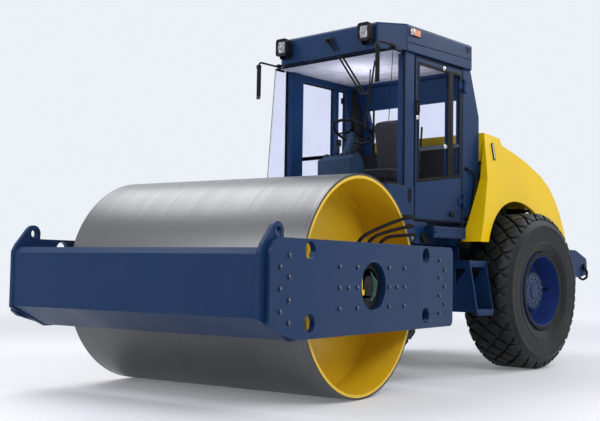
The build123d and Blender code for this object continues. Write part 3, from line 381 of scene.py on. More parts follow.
@dataclass(frozen=True)
class Finish:
    """A surface's look."""

    name: str  # the material's name
    colour: Colour  # its main colour, linear
    roughness: float  # from 0, polished, to 1, matt

    def material(self) -> bpy.types.Material:
        """Makes the material on first use.

        Returns:
            The material.
        """
        if self.name in FILLED:
            return FILLED[self.name]
        made = FILLED[self.name] = bpy.data.materials.new(self.name)
        made.use_nodes = True
        made.diffuse_color = rgba(self.colour)
        sheet = Sheet(made.node_tree)
        sheet.feed(Roughness=self.roughness)
        self.fill(sheet)
        return made

    def fill(self, sheet: Sheet) -> None:
        """Joins the effects to the shader, on the material's sheet."""
        raise NotImplementedError

    def uneven(self, sheet: Sheet, scale: float, darkest: float, lightest: float,
               ) -> tuple[Socket, Socket]:
        """Adds blotches and the colour that varies with them.

        Args:
            sheet: The material's sheet.
            scale: Scale of the blotches.
            darkest: The colour's gain where it is darkest.
            lightest: Its gain where it is lightest.

        Returns:
            The blotches and the colour.
        """
        blotches = sheet.group("blotches", Scale=scale)
        return blotches, sheet.mix(sheet.ramp(blotches, 0.3, 0.7), rgba(self.colour, darkest),
                                   rgba(self.colour, lightest))


@dataclass(frozen=True)
class Paint(Finish):
    """Sprayed paint over steel, with dust low down and bare metal at some edges."""

    wear: float = 0.3  # how much of the edges has worn
    dust: float = 0.03  # how much dust lies on it
    coat: float = 0.0  # weight of the clear gloss

    def fill(self, sheet: Sheet) -> None:
        """Joins dust, wear, unevenness and rounded edges.

        Args:
            sheet: The material's sheet.
        """
        edges = sheet.group("edges", "Normal", Radius=0.004, Wear=self.wear).node
        dust = sheet.group("dust", Top=1.5, Amount=self.dust)
        blotches, painted = self.uneven(sheet, 2.2, 0.97, 1.03)
        bared = sheet.mix(edges.outputs["Worn"], painted, rgba(BARE_STEEL))
        rough = sheet.ramp(blotches, 0.25, 0.75, self.roughness * 0.85, self.roughness * 1.2)
        sheet.feed(Base_Color=sheet.mix(dust, bared, rgba(DUST)),
                   Roughness=sheet.math("ADD", rough, sheet.math("MULTIPLY", dust, 0.5), clamp=True),
                   Coat_Weight=self.coat, Coat_Roughness=0.12, Specular_IOR_Level=0.15)
        sheet.bump(sheet.group("peel", Scale=120.0), 0.05, 0.002, edges.outputs["Normal"])


@dataclass(frozen=True)
class DrumSkin(Finish):
    """Rolled steel outside, paint inside and a black end ring, told apart by their place."""

    inside: Colour = (0.92, 0.58, 0.015)  # the paint's colour
    end: float = 1.069  # distance of the end rings from the drum's middle
    bore: float = 0.765  # the shell's inner radius
    ring: float = 0.7845  # inner radius of the black ring

    @staticmethod
    def past(sheet: Sheet, value: Value, limit: float) -> Socket:
        """Returns a mask that is 1 where the value is past the limit."""
        return sheet.ramp(value, limit - 0.0005, limit + 0.0005)

    def fill(self, sheet: Sheet) -> None:
        """Joins the rolled marks, the ring and the paint inside.

        Args:
            sheet: The material's sheet.
        """
        rolled = sheet.group("rolled", Fineness=90.0).node.outputs
        end = self.past(sheet, sheet.math("ABSOLUTE", rolled["Across"]), self.end)
        shell = self.past(sheet, rolled["Radius"], self.bore)
        ring = self.past(sheet, rolled["Radius"], self.ring)
        beside_end = sheet.math("SUBTRACT", 1.0, end)
        outer = sheet.math("MULTIPLY", shell, sheet.math("MAXIMUM", ring, beside_end))
        blotches = sheet.group("blotches", Scale=1.6)
        worn = sheet.math("MULTIPLY", sheet.ramp(rolled["Marks"], 0.3, 0.7),
                          sheet.ramp(blotches, 0.35, 0.7, 0.55, 1.0))
        steel = sheet.mix(worn, rgba(self.colour, 0.86), rgba(self.colour))
        steel = sheet.mix(end, steel, rgba(RING_BLACK))
        dust = sheet.group("dust", Top=1.6, Amount=0.06)
        paint = sheet.mix(sheet.ramp(blotches, 0.3, 0.7), rgba(self.inside, 0.9), rgba(self.inside))
        metal = sheet.math("MULTIPLY", sheet.math("MULTIPLY", outer, beside_end),
                           sheet.math("SUBTRACT", 0.85, dust))
        polish = sheet.ramp(worn, 0.0, 1.0, self.roughness * 1.25, self.roughness * 0.85)
        sheet.feed(Base_Color=sheet.mix(dust, sheet.mix(outer, paint, steel), rgba(DUST)), Metallic=metal,
                   Roughness=sheet.math("ADD", polish, sheet.math("MULTIPLY", dust, 0.4)))
        sheet.bump(rolled["Marks"], 0.03, 0.002)


@dataclass(frozen=True)
class Metal(Finish):
    """Bare or plated metal."""

    metallic: float = 1.0  # 1 for bare metal
    grain: float = 90.0  # scale of its unevenness

    def fill(self, sheet: Sheet) -> None:
        """Joins unevenness of colour, roughness and surface.

        Args:
            sheet: The material's sheet.
        """
        fine = sheet.group("blotches", Scale=self.grain * 2)
        sheet.feed(Base_Color=self.uneven(sheet, self.grain, 0.88, 1.12)[1], Metallic=self.metallic,
                   Roughness=sheet.ramp(fine, 0.3, 0.7, self.roughness * 0.8, self.roughness * 1.25))
        sheet.bump(fine, 0.08, 0.001)


@dataclass(frozen=True)
class Rubber(Finish):
    """Rubber with dust in its low places."""

    dust: float = 0.0  # how much dust lies on it
    scale: float = 90.0  # scale of its grain
    gloss: float = 0.12  # level of its reflections

    def fill(self, sheet: Sheet) -> None:
        """Joins dust and grain.

        Args:
            sheet: The material's sheet.
        """
        base = self.uneven(sheet, self.scale * 0.2, 0.75, 1.3)[1]
        dust = sheet.group("dust", Top=1.5, Amount=self.dust)
        sheet.feed(Base_Color=sheet.mix(dust, base, rgba(DUST)), Specular_IOR_Level=self.gloss)
        sheet.bump(sheet.group("peel", Scale=self.scale), 0.25, 0.002)


@dataclass(frozen=True)
class Plastic(Finish):
    """Moulded plastic with a fine grain."""

    def fill(self, sheet: Sheet) -> None:
        """Joins unevenness and grain."""
        sheet.feed(Base_Color=self.uneven(sheet, 5.0, 0.88, 1.12)[1], Specular_IOR_Level=0.16)
        sheet.bump(sheet.group("peel", Scale=700.0), 0.05, 0.001)


@dataclass(frozen=True)
class Fabric(Finish):
    """Woven seat cover."""

    def fill(self, sheet: Sheet) -> None:
        """Joins unevenness and the weave."""
        sheet.feed(Base_Color=self.uneven(sheet, 6.0, 0.82, 1.18)[1], Sheen_Weight=0.08)
        sheet.bump(sheet.group("weave", Count=1300.0), 0.12, 0.001)


@dataclass(frozen=True)
class Glass(Finish):
    """Tinted pane with slight smears."""

    def fill(self, sheet: Sheet) -> None:
        """Joins a smeared tint."""
        smears = sheet.ramp(sheet.group("blotches", Scale=4.0), 0.4, 0.8)
        sheet.feed(Base_Color=sheet.mix(smears, rgba(self.colour), rgba(self.colour, 0.96)),
                   Transmission_Weight=1.0, IOR=1.05)


@dataclass(frozen=True)
class Lens(Finish):
    """Lamp lens, ribbed inside, with a faint painted glow in place of light off its reflector."""

    glow: float = 0.0  # strength of a faint painted glow, painted light that stands for light off its reflector

    def fill(self, sheet: Sheet) -> None:
        """Joins unevenness, ribs and the painted glow."""
        sheet.feed(Base_Color=self.uneven(sheet, 12.0, 0.85, 1.15)[1], Coat_Weight=0.8,
                   Coat_Roughness=0.05, Emission_Color=rgba(self.colour), Emission_Strength=self.glow)
        sheet.bump(sheet.group("weave", Count=260.0), 0.35, 0.002)


@dataclass(frozen=True)
class Ground(Finish):
    """Plain studio floor that fades into the pale backdrop."""

    lit_reach: float = 4.5  # how far from its middle the lamps light it

    def fill(self, sheet: Sheet) -> None:
        """Joins grain, and a glow that grows away from the lamps.

        Args:
            sheet: The material's sheet.
        """
        away = sheet.add("ShaderNodeVectorMath", {0: sheet.place()}, operation="LENGTH")
        glow = sheet.ramp(away.outputs["Value"], self.lit_reach, 3 * self.lit_reach, 0.18, 0.6)
        sheet.feed(Base_Color=self.uneven(sheet, 0.6, 0.985, 1.015)[1],
                   Emission_Strength=sheet.math("MULTIPLY", sheet.seen(), glow),
                   Emission_Color=rgba(self.colour))
        sheet.bump(sheet.group("peel", Scale=60.0), 0.03, 0.001)


NAVY = Paint("navy_paint", (0.006, 0.031, 0.098), 0.4, wear=0.35, coat=0.05)
YELLOW = Paint("yellow_paint", (0.92, 0.6, 0.002), 0.32, wear=0.25, dust=0.01, coat=0.06)
RIM_BLUE = Paint("rim_paint", (0.018, 0.045, 0.21), 0.34, wear=0.4, dust=0.06, coat=0.12)
HUB_SLATE = Paint("hub_paint", (0.018, 0.042, 0.105), 0.4, wear=0.4, dust=0.08, coat=0.1)
BLACK_PAINT = Paint("black_paint", (0.006, 0.006, 0.007), 0.5, wear=0.25)
GREY_PAINT = Paint("grey_paint", (0.05, 0.055, 0.06), 0.5, wear=0.2, dust=0.02)
VALVE_GREEN = Paint("valve_paint", (0.03, 0.1, 0.08), 0.4, dust=0.15, coat=0.1)
DRUM_STEEL = DrumSkin("drum_steel", (0.15, 0.15, 0.155), 0.31)
CHROME = Metal("rod_chrome", (0.8, 0.8, 0.82), 0.14, grain=60.0)
PLATE_BOLT = Metal("plate_bolt", (0.07, 0.09, 0.13), 0.3)
BOLT_STEEL = Metal("bolt_steel", (0.3, 0.31, 0.33), 0.38)
CAST = Metal("grey_steel", (0.14, 0.14, 0.145), 0.6, metallic=0.55, grain=14.0)
MIRROR_GLASS = Metal("mirror_glass", (0.5, 0.5, 0.54), 0.05, grain=3.0)
TYRE_RUBBER = Rubber("tyre", (0.006, 0.007, 0.008), 0.5, dust=0.05, gloss=0.22)
HOSE_RUBBER = Rubber("hose_rubber", (0.003, 0.003, 0.004), 0.85, scale=160.0)
SEAL = Rubber("seal_rubber", (0.008, 0.008, 0.009), 0.6, dust=0.04, scale=120.0)
BLACK_PLASTIC = Plastic("black_plastic", (0.006, 0.006, 0.007), 0.55)
LINING = Plastic("lining", (0.72, 0.72, 0.8), 0.75)
# near-black panels that stand for the shade in the cab's rear: painted shade
PAINTED_SHADE = Plastic("dark_lining", (0.018, 0.019, 0.022), 0.7)
SLATE_PLASTIC = Plastic("slate_plastic", (0.02, 0.048, 0.085), 0.55)
GAUGE_WHITE = Plastic("gauge_white", (0.7, 0.7, 0.7), 0.5)
SEAT_CLOTH = Fabric("seat_fabric", (0.012, 0.012, 0.014), 0.85)
CLEAR_GLASS = Glass("glass", (0.9, 0.91, 1.0), 0.0)
# the lenses' glow is painted light: they glow though their lamps are not lit
LAMP_CLEAR = Lens("lamp_glass", (0.24, 0.24, 0.29), 0.15, glow=0.03)
AMBER = Lens("amber_lens", (0.6, 0.15, 0.003), 0.25, glow=0.04)
RED = Lens("red_lens", (0.45, 0.01, 0.01), 0.2, glow=0.05)
FLOOR = Ground("floor", (0.8, 0.81, 0.84), 0.6)


# -------------------- mesh tools

CORNER_STEPS = 5  # steps of an outline's rounded corner
BEND_STEPS = 6  # steps of a tube's bend


def circle(count: int, radius: float, start: float = 0.0) -> Outline:
    """Spaces points evenly round a circle about the origin.

    Args:
        count: Number of points.
        radius: The circle's radius.
        start: Where the first point lies, in steps.

    Returns:
        The points.
    """
    turns = [2 * pi * (step + start) / count for step in range(count)]
    return [(radius * cos(turn), radius * sin(turn)) for turn in turns]


def rectangle(left: float, low: float, right: float, high: float) -> Outline:
    """Corners of an upright rectangle, as (u, v)."""
    return [(left, low), (right, low), (right, high), (left, high)]


def rounded_outline(width: float, height: float, radius: float) -> Outline:
    """Draws a rounded rectangle about the origin.

    Args:
        width: Its width.
        height: Its height.
        radius: Radius of its corners.

    Returns:
        Its corners, as (u, v).
    """
    outline = []
    for corner, (u, v) in enumerate(((1, 1), (-1, 1), (-1, -1), (1, -1))):
        for step in range(CORNER_STEPS + 1):
            angle = (corner + step / CORNER_STEPS) * pi / 2
            outline.append((u * (width / 2 - radius) + radius * cos(angle),
                            v * (height / 2 - radius) + radius * sin(angle)))
    return outline


def block(low: Point, high: Point, bevel: float = 0.0, segments: int = 2) -> Part:
    """Makes a box between two corners.

    Args:
        low: One corner.
        high: The opposite corner.
        bevel: Width of its rounded edges.
        segments: Steps of each rounded edge.

    Returns:
        The part.
    """
    part = bmesh.new()
    low, high = Vector(map(min, low, high)), Vector(map(max, low, high))
    size = high - low
    place = Matrix.Translation((low + high) / 2) @ Matrix.Diagonal((*size, 1.0))
    bmesh.ops.create_cube(part, size=1.0, matrix=place)
    if bevel:
        width = min(bevel, 0.45 * min(size))
        bmesh.ops.bevel(part, geom=part.edges[:], offset=width, segments=segments, profile=0.5,
                        affect="EDGES")
    return part


def plate(outline: Sequence[Point], depth: float, bevel: float = 0.0) -> Part:
    """Extrudes a flat outline along local Z, from 0 to depth.

    Args:
        outline: Corners in order, as (u, v).
        depth: Thickness.
        bevel: Width of the rounded edges.

    Returns:
        The part.
    """
    part = bmesh.new()
    corners = [part.verts.new((u, v, 0)) for u, v in outline]
    face = part.faces.new(corners)
    raised = bmesh.ops.extrude_face_region(part, geom=[face])
    moved = [item for item in raised["geom"] if isinstance(item, bmesh.types.BMVert)]
    bmesh.ops.translate(part, verts=moved, vec=(0, 0, depth))
    bmesh.ops.recalc_face_normals(part, faces=part.faces[:])
    if bevel:
        bmesh.ops.bevel(part, geom=part.edges[:], offset=bevel, segments=2, profile=0.5, affect="EDGES")
    return part


def lathe(profile: Sequence[Point], steps: int = 48, closed: bool = False) -> Part:
    """Turns a profile about local Z.

    Args:
        profile: Points as (radius, height); a radius of 0 closes the end.
        steps: Steps round the axis.
        closed: True if the profile is a ring of its own.

    Returns:
        The part.
    """
    part = bmesh.new()
    rings = []
    for radius, height in profile:
        if radius:
            rings.append([part.verts.new((x, y, height)) for x, y in circle(steps, radius)])
        else:
            rings.append([part.verts.new((0, 0, height))] * steps)
    pairs = list(zip(rings, rings[1:]))
    if closed:
        pairs.append((rings[-1], rings[0]))
    for first, second in pairs:
        for step in range(steps):
            after = (step + 1) % steps
            corners = [first[step], first[after], second[after], second[step]]
            distinct = list(dict.fromkeys(corners))
            if len(distinct) > 2:
                part.faces.new(distinct)
    bmesh.ops.recalc_face_normals(part, faces=part.faces[:])
    return part


def rounded_path(points: Sequence[Point], bend: float) -> list[Vector]:
    """Replaces a polyline's corners by arcs.

    Args:
        points: Corners of the polyline.
        bend: Radius of the arcs.

    Returns:
        The points along the path.
    """
    corners = [Vector(point) for point in points]
    path = [corners[0]]
    for before, here, after in zip(corners, corners[1:], corners[2:]):
        arriving = (before - here).normalized()
        leaving = (after - here).normalized()
        half = arriving.angle(leaving) / 2
        reach = min(bend / tan(half), 0.48 * (before - here).length, 0.48 * (after - here).length)
        start, end = here + arriving * reach, here + leaving * reach
        for step in range(BEND_STEPS + 1):
            t = step / BEND_STEPS
            path.append(start * (1 - t) ** 2 + here * 2 * t * (1 - t) + end * t ** 2)
    path.append(corners[-1])
    return path


def tube(points: Sequence[Point], radius: float, bend: float = 0.0, sides: int = 12) -> Part:
    """Sweeps a circle along a path and caps its ends.

    Args:
        points: Corners of the path.
        radius: The tube's radius.
        bend: Radius of the path's bends; 0 keeps the points as they are.
        sides: Steps round the tube.

    Returns:
        The part.
    """
    path = rounded_path(points, bend) if bend else [Vector(point) for point in points]
    part = bmesh.new()
    heading = (path[1] - path[0]).normalized()
    guide = Vector((0, 0, 1)) if abs(heading.z) < 0.9 else Vector((1, 0, 0))
    side = heading.cross(guide).normalized()
    rings = []
    for index, here in enumerate(path):
        ahead = path[min(index + 1, len(path) - 1)] - path[max(index - 1, 0)]
        turn = heading.rotation_difference(ahead.normalized())
        side = (turn @ side).normalized()
        heading = ahead.normalized()
        other = heading.cross(side).normalized()
        rings.append([part.verts.new(here + side * u + other * v) for u, v in circle(sides, radius)])
    for first, second in zip(rings, rings[1:]):
        for step in range(sides):
            after = (step + 1) % sides
            part.faces.new((first[step], first[after], second[after], second[step]))
    part.faces.new(rings[0][::-1])
    part.faces.new(rings[-1])
    bmesh.ops.recalc_face_normals(part, faces=part.faces[:])
    return part


def bolt(radius: float, height: float, washer: bool = True) -> Part:
    """Makes a hexagonal head on a washer, standing on local Z = 0.

    Args:
        radius: Half the head's width over its corners.
        height: Height of the head.
        washer: True for a washer under the head.

    Returns:
        The part.
    """
    foot = 0.25 * height if washer else 0.0
    profile = [(radius, foot), (radius, foot + 0.8 * height), (0.84 * radius, foot + height),
               (0, foot + height)]
    part = lathe(profile, steps=6)
    if washer:
        join(part, lathe([(1.35 * radius, 0), (1.35 * radius, foot), (0, foot)], steps=16))
    return part


def inset(outline: Sequence[Point], amount: float) -> Outline:
    """Moves each side of a convex outline inwards.

    Args:
        outline: Corners in order.
        amount: How far; a negative amount moves the sides outwards.

    Returns:
        The moved corners.
    """
    corners = [Vector(point[:2]) for point in outline]
    area = sum(a.x * b.y - b.x * a.y for a, b in zip(corners, corners[1:] + corners[:1]))
    turn = 1 if area > 0 else -1
    moved = []
    for index, here in enumerate(corners):
        arriving = (here - corners[index - 1]).normalized()
        leaving = (corners[(index + 1) % len(corners)] - here).normalized()
        normal_in = Vector((-arriving.y, arriving.x)) * turn
        normal_out = Vector((-leaving.y, leaving.x)) * turn
        middle = (normal_in + normal_out).normalized()
        reach = amount / max(0.3, middle.dot(normal_in))
        moved.append(tuple(here + middle * reach))
    return moved


def border(outline: Sequence[Point], outside: float, inside: float, depth: float) -> Part:
    """Makes a flat frame that follows an outline, from local Z 0 to depth.

    Args:
        outline: Corners in order, as (u, v).
        outside: How far it reaches outside the outline.
        inside: How far it reaches inside the outline.
        depth: Thickness at its middle; the edges are half as thick.

    Returns:
        The part.
    """
    part = bmesh.new()
    loops = ((-outside, 0.0), (-outside, depth / 2), (-outside * 0.5, depth),
             (inside * 0.5, depth), (inside, depth / 2), (inside, 0.0))
    rings = [[part.verts.new((u, v, height)) for u, v in inset(outline, reach)] for reach, height in loops]
    for first, second in zip(rings, rings[1:] + rings[:1]):
        for step in range(len(outline)):
            after = (step + 1) % len(outline)
            part.faces.new((first[step], first[after], second[after], second[step]))
    bmesh.ops.recalc_face_normals(part, faces=part.faces[:])
    return part


def hose(points: Sequence[Point], radius: float) -> Part:
    """Makes a smooth round hose on a NURBS spline with these points.

    Args:
        points: The spline's control points.
        radius: The hose's radius.

    Returns:
        The part.
    """
    curve = bpy.data.curves.new("hose_line", "CURVE")
    curve.dimensions = "3D"
    curve.bevel_depth = radius
    curve.bevel_resolution = 5
    curve.use_fill_caps = True
    spline = curve.splines.new("NURBS")
    spline.points.add(len(points) - 1)
    for place, point in zip(spline.points, points):
        place.co = (*point, 1.0)
    spline.use_endpoint_u = True
    spline.order_u = 3
    spline.resolution_u = 10
    line = bpy.data.objects.new("hose_line", curve)
    data = bpy.data.meshes.new_from_object(line)
    part = bmesh.new()
    part.from_mesh(data)
    bpy.data.objects.remove(line)
    bpy.data.curves.remove(curve)
    bpy.data.meshes.remove(data)
    return part


def join(part: Part, other: Part) -> None:
    """Adds other to part and frees it.

    Args:
        part: The part that grows.
        other: The part that is added.
    """
    data = bpy.data.meshes.new("joined")
    other.to_mesh(data)
    other.free()
    part.from_mesh(data)
    bpy.data.meshes.remove(data)


def at(x: float, y: float, z: float, axis: Axis = Axis.UP, turn: float = 0.0) -> Matrix:
    """Place of a part: its origin, the axis that local Z takes, and a turn about it."""
    return Matrix.Translation((x, y, z)) @ axis.value @ Matrix.Rotation(turn, 4, "Z")


def facing(origin: Point, direction: Point) -> Matrix:
    """Place of a part whose local Z points along direction."""
    turn = Vector(direction).to_track_quat("Z", "Y").to_matrix().to_4x4()
    return Matrix.Translation(Vector(origin)) @ turn


def outward(side: Side, x: float, y: float, z: float) -> Matrix:
    """Place on a side, y from the machine's middle, with local Z pointing away from it."""
    return facing((x, side * y, z), (0, side, 0))


def side_sheet(side: Side, y: float) -> Matrix:
    """Place for outlines drawn as (along, up) on a side, raised outwards from y."""
    return at(0, side * y, 0, Axis.ACROSS) @ Matrix.Diagonal((1, 1, -side, 1))


def rear_sheet(x: float, y: float = 0.0, z: float = 0.0) -> Matrix:
    """Place for outlines drawn as (across, up) on a rear face, raised backwards from x."""
    return at(x, y, z, Axis.ALONG) @ Matrix.Diagonal((1, 1, -1, 1))


class Piece:
    """One mesh piece under construction, in a local frame of the machine."""

    def __init__(self, name: str, finish: Finish, place: Matrix = TRACTOR) -> None:
        """Starts an empty piece.

        Args:
            name: The piece's name.
            finish: Its finish.
            place: The local frame it is drawn in.
        """
        self.name = name
        self.finish = finish
        self.place = place
        self.mesh = bmesh.new()

    def add(self, part: Part, *places: Matrix) -> "Piece":
        """Adds a part once at each place in the local frame, or as it is drawn.

        Args:
            part: The part.
            *places: Where it goes.

        Returns:
            The piece itself.
        """
        data = bpy.data.meshes.new("part")
        part.to_mesh(data)
        part.free()
        for place in places or (Matrix.Identity(4),):
            copy = data.copy()
            copy.transform(place)
            self.mesh.from_mesh(copy)
            bpy.data.meshes.remove(copy)
        bpy.data.meshes.remove(data)
        return self

    def make(self, body: str | None = "tractor", *replaced: str, slot: str = "",
             sharp: float = 38) -> bpy.types.Object:
        """Turns the mesh into an object and hangs it on a body.

        Args:
            body: The CAD body it rides on, or None to leave it on no body.
            *replaced: CAD nodes that it stands for.
            slot: The record's material slot, if it has one; not used.
            sharp: Edges steeper than this many degrees stay sharp.

        Returns:
            The object.
        """
        data = bpy.data.meshes.new(self.name)
        self.mesh.to_mesh(data)
        self.mesh.free()
        data.transform(self.place)
        data.shade_smooth()
        data.set_sharp_from_angle(angle=radians(sharp))
        data.materials.append(self.finish.material())
        made = bpy.data.objects.new(self.name, data)
        bpy.context.scene.collection.objects.link(made)
        if body:
            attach(made, body)
        if replaced:
            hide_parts(*replaced)
        LOG.info("%s: %d faces on %s", self.name, len(data.polygons), body or "two bodies")
        return made


def paint_nodes(finish: Finish, *names: str) -> None:
    """Gives the finish to CAD nodes."""
    for name in names:
        node = frame["nodes"][name]
        node.data.materials.clear()
        node.data.materials.append(finish.material())


# -------------------- sub-assemblies


@dataclass
class DrumDetail:
    """Welds, bolts and hole covers on the drum's two end discs."""

    disc_face: float = 0.72  # distance of the disc's outer face from the middle
    bore: float = 0.7645  # the shell's inner radius
    boss_radius: float = 0.2  # radius of the boss on the disc
    bolt_circle: float = 0.262  # radius of the boss bolts
    bolt_count: int = 16  # number of the boss bolts
    hole_circle: float = 0.52  # radius at which the access holes lie
    cover_radius: float = 0.084  # radius of an access hole's cover
    cover_depth: float = 0.011  # thickness of a cover

    def make(self) -> None:
        """Builds the details of both ends."""
        paint_nodes(DRUM_STEEL, "drum")
        for side in Side:
            face = side * self.disc_face
            centre = at(DRUM_X, face, DRUM_RADIUS, Axis.ACROSS)
            out = -side  # local Z of Axis.ACROSS runs to the right
            skin = Piece(f"drum_welds_{side}", DRUM_STEEL, DRUM_FRAME)
            skin.add(lathe(((self.bore, 0), (self.bore, out * 0.016), (self.bore - 0.0165, 0)), 96), centre)
            skin.add(lathe(((self.boss_radius, 0), (self.boss_radius, out * 0.014),
                            (self.boss_radius + 0.016, 0)), 64), centre)
            top = out * -0.001
            cover = lathe(((0, top), (self.cover_radius, top),
                           (self.cover_radius, top - out * self.cover_depth),
                           (0, top - out * self.cover_depth)), 48)
            skin.add(cover, *(at(DRUM_X + x, face, DRUM_RADIUS + z, Axis.ACROSS)
                              for x, z in circle(4, self.hole_circle, 0.5)))
            skin.make("drum")
            bolts = Piece(f"drum_bolts_{side}", BOLT_STEEL, DRUM_FRAME)
            bolts.add(bolt(0.017, 0.013),
                      *(outward(side, DRUM_X + x, self.disc_face, DRUM_RADIUS + z)
                        for x, z in circle(self.bolt_count, self.bolt_circle, 0.5)))
            bolts.make("drum")


@dataclass
class DrumFrameDetail:
    """Bolts, weld beads, hub drive and lug rims on the plate frame that carries the drum."""

    plate_face: float = 1.16  # distance of the side plates' outer faces from the middle
    plate_wall: float = 0.045  # thickness of a side plate
    opening: float = 0.17  # radius of the plates' round openings
    pipe_plane: float = 1.112  # distance of the motor's pipes from the middle
    eye: Pair = (2.675, 1.142)  # middle of a lifting eye, as (along, up)
    eye_faces: Pair = (1.0895, 1.1205)  # distances of a lifting lug's faces from the middle
    bead: float = 0.0055  # radius of a weld bead

    def bolt_places(self, side: Side) -> list[Matrix]:
        """Places the bolts of one side plate, around the hub and at both joints.

        Args:
            side: Side of the machine.

        Returns:
            The bolts' places.
        """
        spots = [(x, z) for x in (-0.46, -0.225, 0.225, 0.46) for z in (0.93, 0.79, 0.65)]
        spots += [(-0.345, 0.79), (0.345, 0.79)]
        for end in (1, -1):
            spots += [(end * 1.056, z) for z in (0.995, 0.861, 0.718, 0.579)]
            spots += [(end * 1.15, z) for z in (0.924, 0.789, 0.649)]
        return [outward(side, DRUM_X + x, self.plate_face, z) for x, z in spots]

    def make(self) -> None:
        """Builds all details of the drum frame."""
        paint_nodes(NAVY, "front_beam", "side_plate_left", "side_plate_right",
                    "rear_crossmember", "centre_tongue")
        paint_nodes(BLACK_PAINT, "hub_carrier_left", "hub_carrier_right")
        for side in Side:
            bolts = Piece(f"plate_bolts_{side}", PLATE_BOLT, DRUM_FRAME)
            bolts.add(bolt(0.0145, 0.009), *self.bolt_places(side)).make("drum_frame")
            self._hub(side)
            self._lug(side)
        self._welds()
        spots = [(y, z) for y in (-0.185, 0.185) for z in (0.635, 0.74, 0.84, 0.945)]
        spots += [(y, z) for y in (-0.07, 0.07) for z in (0.635, 0.945)]
        flange = Piece("tongue_bolts", BOLT_STEEL, DRUM_FRAME)
        flange.add(bolt(0.02, 0.015), *(facing((0.228, y, z), (-1, 0, 0)) for y, z in spots))
        flange.make("drum_frame")

    def _hub(self, side: Side) -> None:
        """Builds the motor end, valve block and pipes behind a plate's round opening.

        Args:
            side: Side of the machine.
        """
        motor = Piece(f"hub_motor_{side}", BLACK_PAINT, DRUM_FRAME)
        motor.add(lathe(((0.06, 0), (0.06, 0.018), (0.045, 0.028), (0, 0.028)), 32),
                  outward(side, DRUM_X, 1.094, DRUM_RADIUS))
        motor.add(bolt(0.009, 0.008),
                  *(outward(side, DRUM_X + 0.066 * cos(a), 1.098, DRUM_RADIUS + 0.066 * sin(a))
                    for a in (0.4, 1.9, 3.5, 5.1)))
        motor.add(block((DRUM_X - 0.055, side * 1.05, 0.665),
                        (DRUM_X + 0.05, side * (self.plate_face - self.plate_wall), 0.715), 0.006))
        motor.make("drum_frame")
        pipes = Piece(f"hub_pipes_{side}", VALVE_GREEN, DRUM_FRAME)
        for drop in (0.0, 0.032):
            pipes.add(tube(((DRUM_X - 0.075 - drop, side * 1.08, 0.92 - drop),
                            (DRUM_X - 0.085 - drop, side * self.pipe_plane, 0.83),
                            (DRUM_X - 0.06 - drop, side * self.pipe_plane, 0.7 + drop),
                            (DRUM_X - 0.02, side * 1.1, 0.69)), 0.011, 0.03))
        pipes.make("drum_frame")
        clamp = Piece(f"hub_clamp_{side}", YELLOW, DRUM_FRAME)
        clamp.add(block((DRUM_X + 0.085, side * 1.095, 0.735),
                        (DRUM_X + 0.125, side * 1.135, 0.775), 0.005))
        clamp.add(block((DRUM_X + 0.095, side * 1.095, 0.77), (DRUM_X + 0.115, side * 1.125, 0.86), 0.004))
        clamp.make("drum_frame")
        lip = ((self.opening, 0.006 - self.plate_wall), (self.opening, 0.0),
               (self.opening + 0.0035, 0.0025), (self.opening + 0.008, 0.0))
        Piece(f"hub_lip_{side}", NAVY, DRUM_FRAME).add(
            lathe(lip, 64), outward(side, DRUM_X, self.plate_face, DRUM_RADIUS)).make("drum_frame")

    def _lug(self, side: Side) -> None:
        """Builds the rims of a lifting eye.

        Args:
            side: Side of the machine.
        """
        x, z = self.eye
        rims = Piece(f"lug_rim_{side}", NAVY, DRUM_FRAME)
        for level, out in zip(self.eye_faces, (-0.004, 0.004)):
            rims.add(lathe(((0.0285, 0), (0.03, out), (0.043, out), (0.046, 0)), 32),
                     at(x, side * level, z, Axis.ACROSS) @ Matrix.Diagonal((1, 1, -side, 1)))
        rims.make("drum_frame")

    def _welds(self) -> None:
        """Builds the beads where the beams meet their end plates."""
        seams = Piece("frame_welds", NAVY, DRUM_FRAME)
        for side in Side:
            y = side * 1.089
            for line in (((2.475, y, 1.041), (2.81, y, 1.041), (2.849, y, 1.001), (2.851, y, 0.62),
                          (2.55, y, 0.469)),
                         ((0.262, y, 1.081), (0.618, y, 1.081)),
                         ((0.259, y, 0.522), (0.259, y, 1.079))):
                seams.add(tube(line, self.bead, sides=8))
        seams.make("drum_frame")


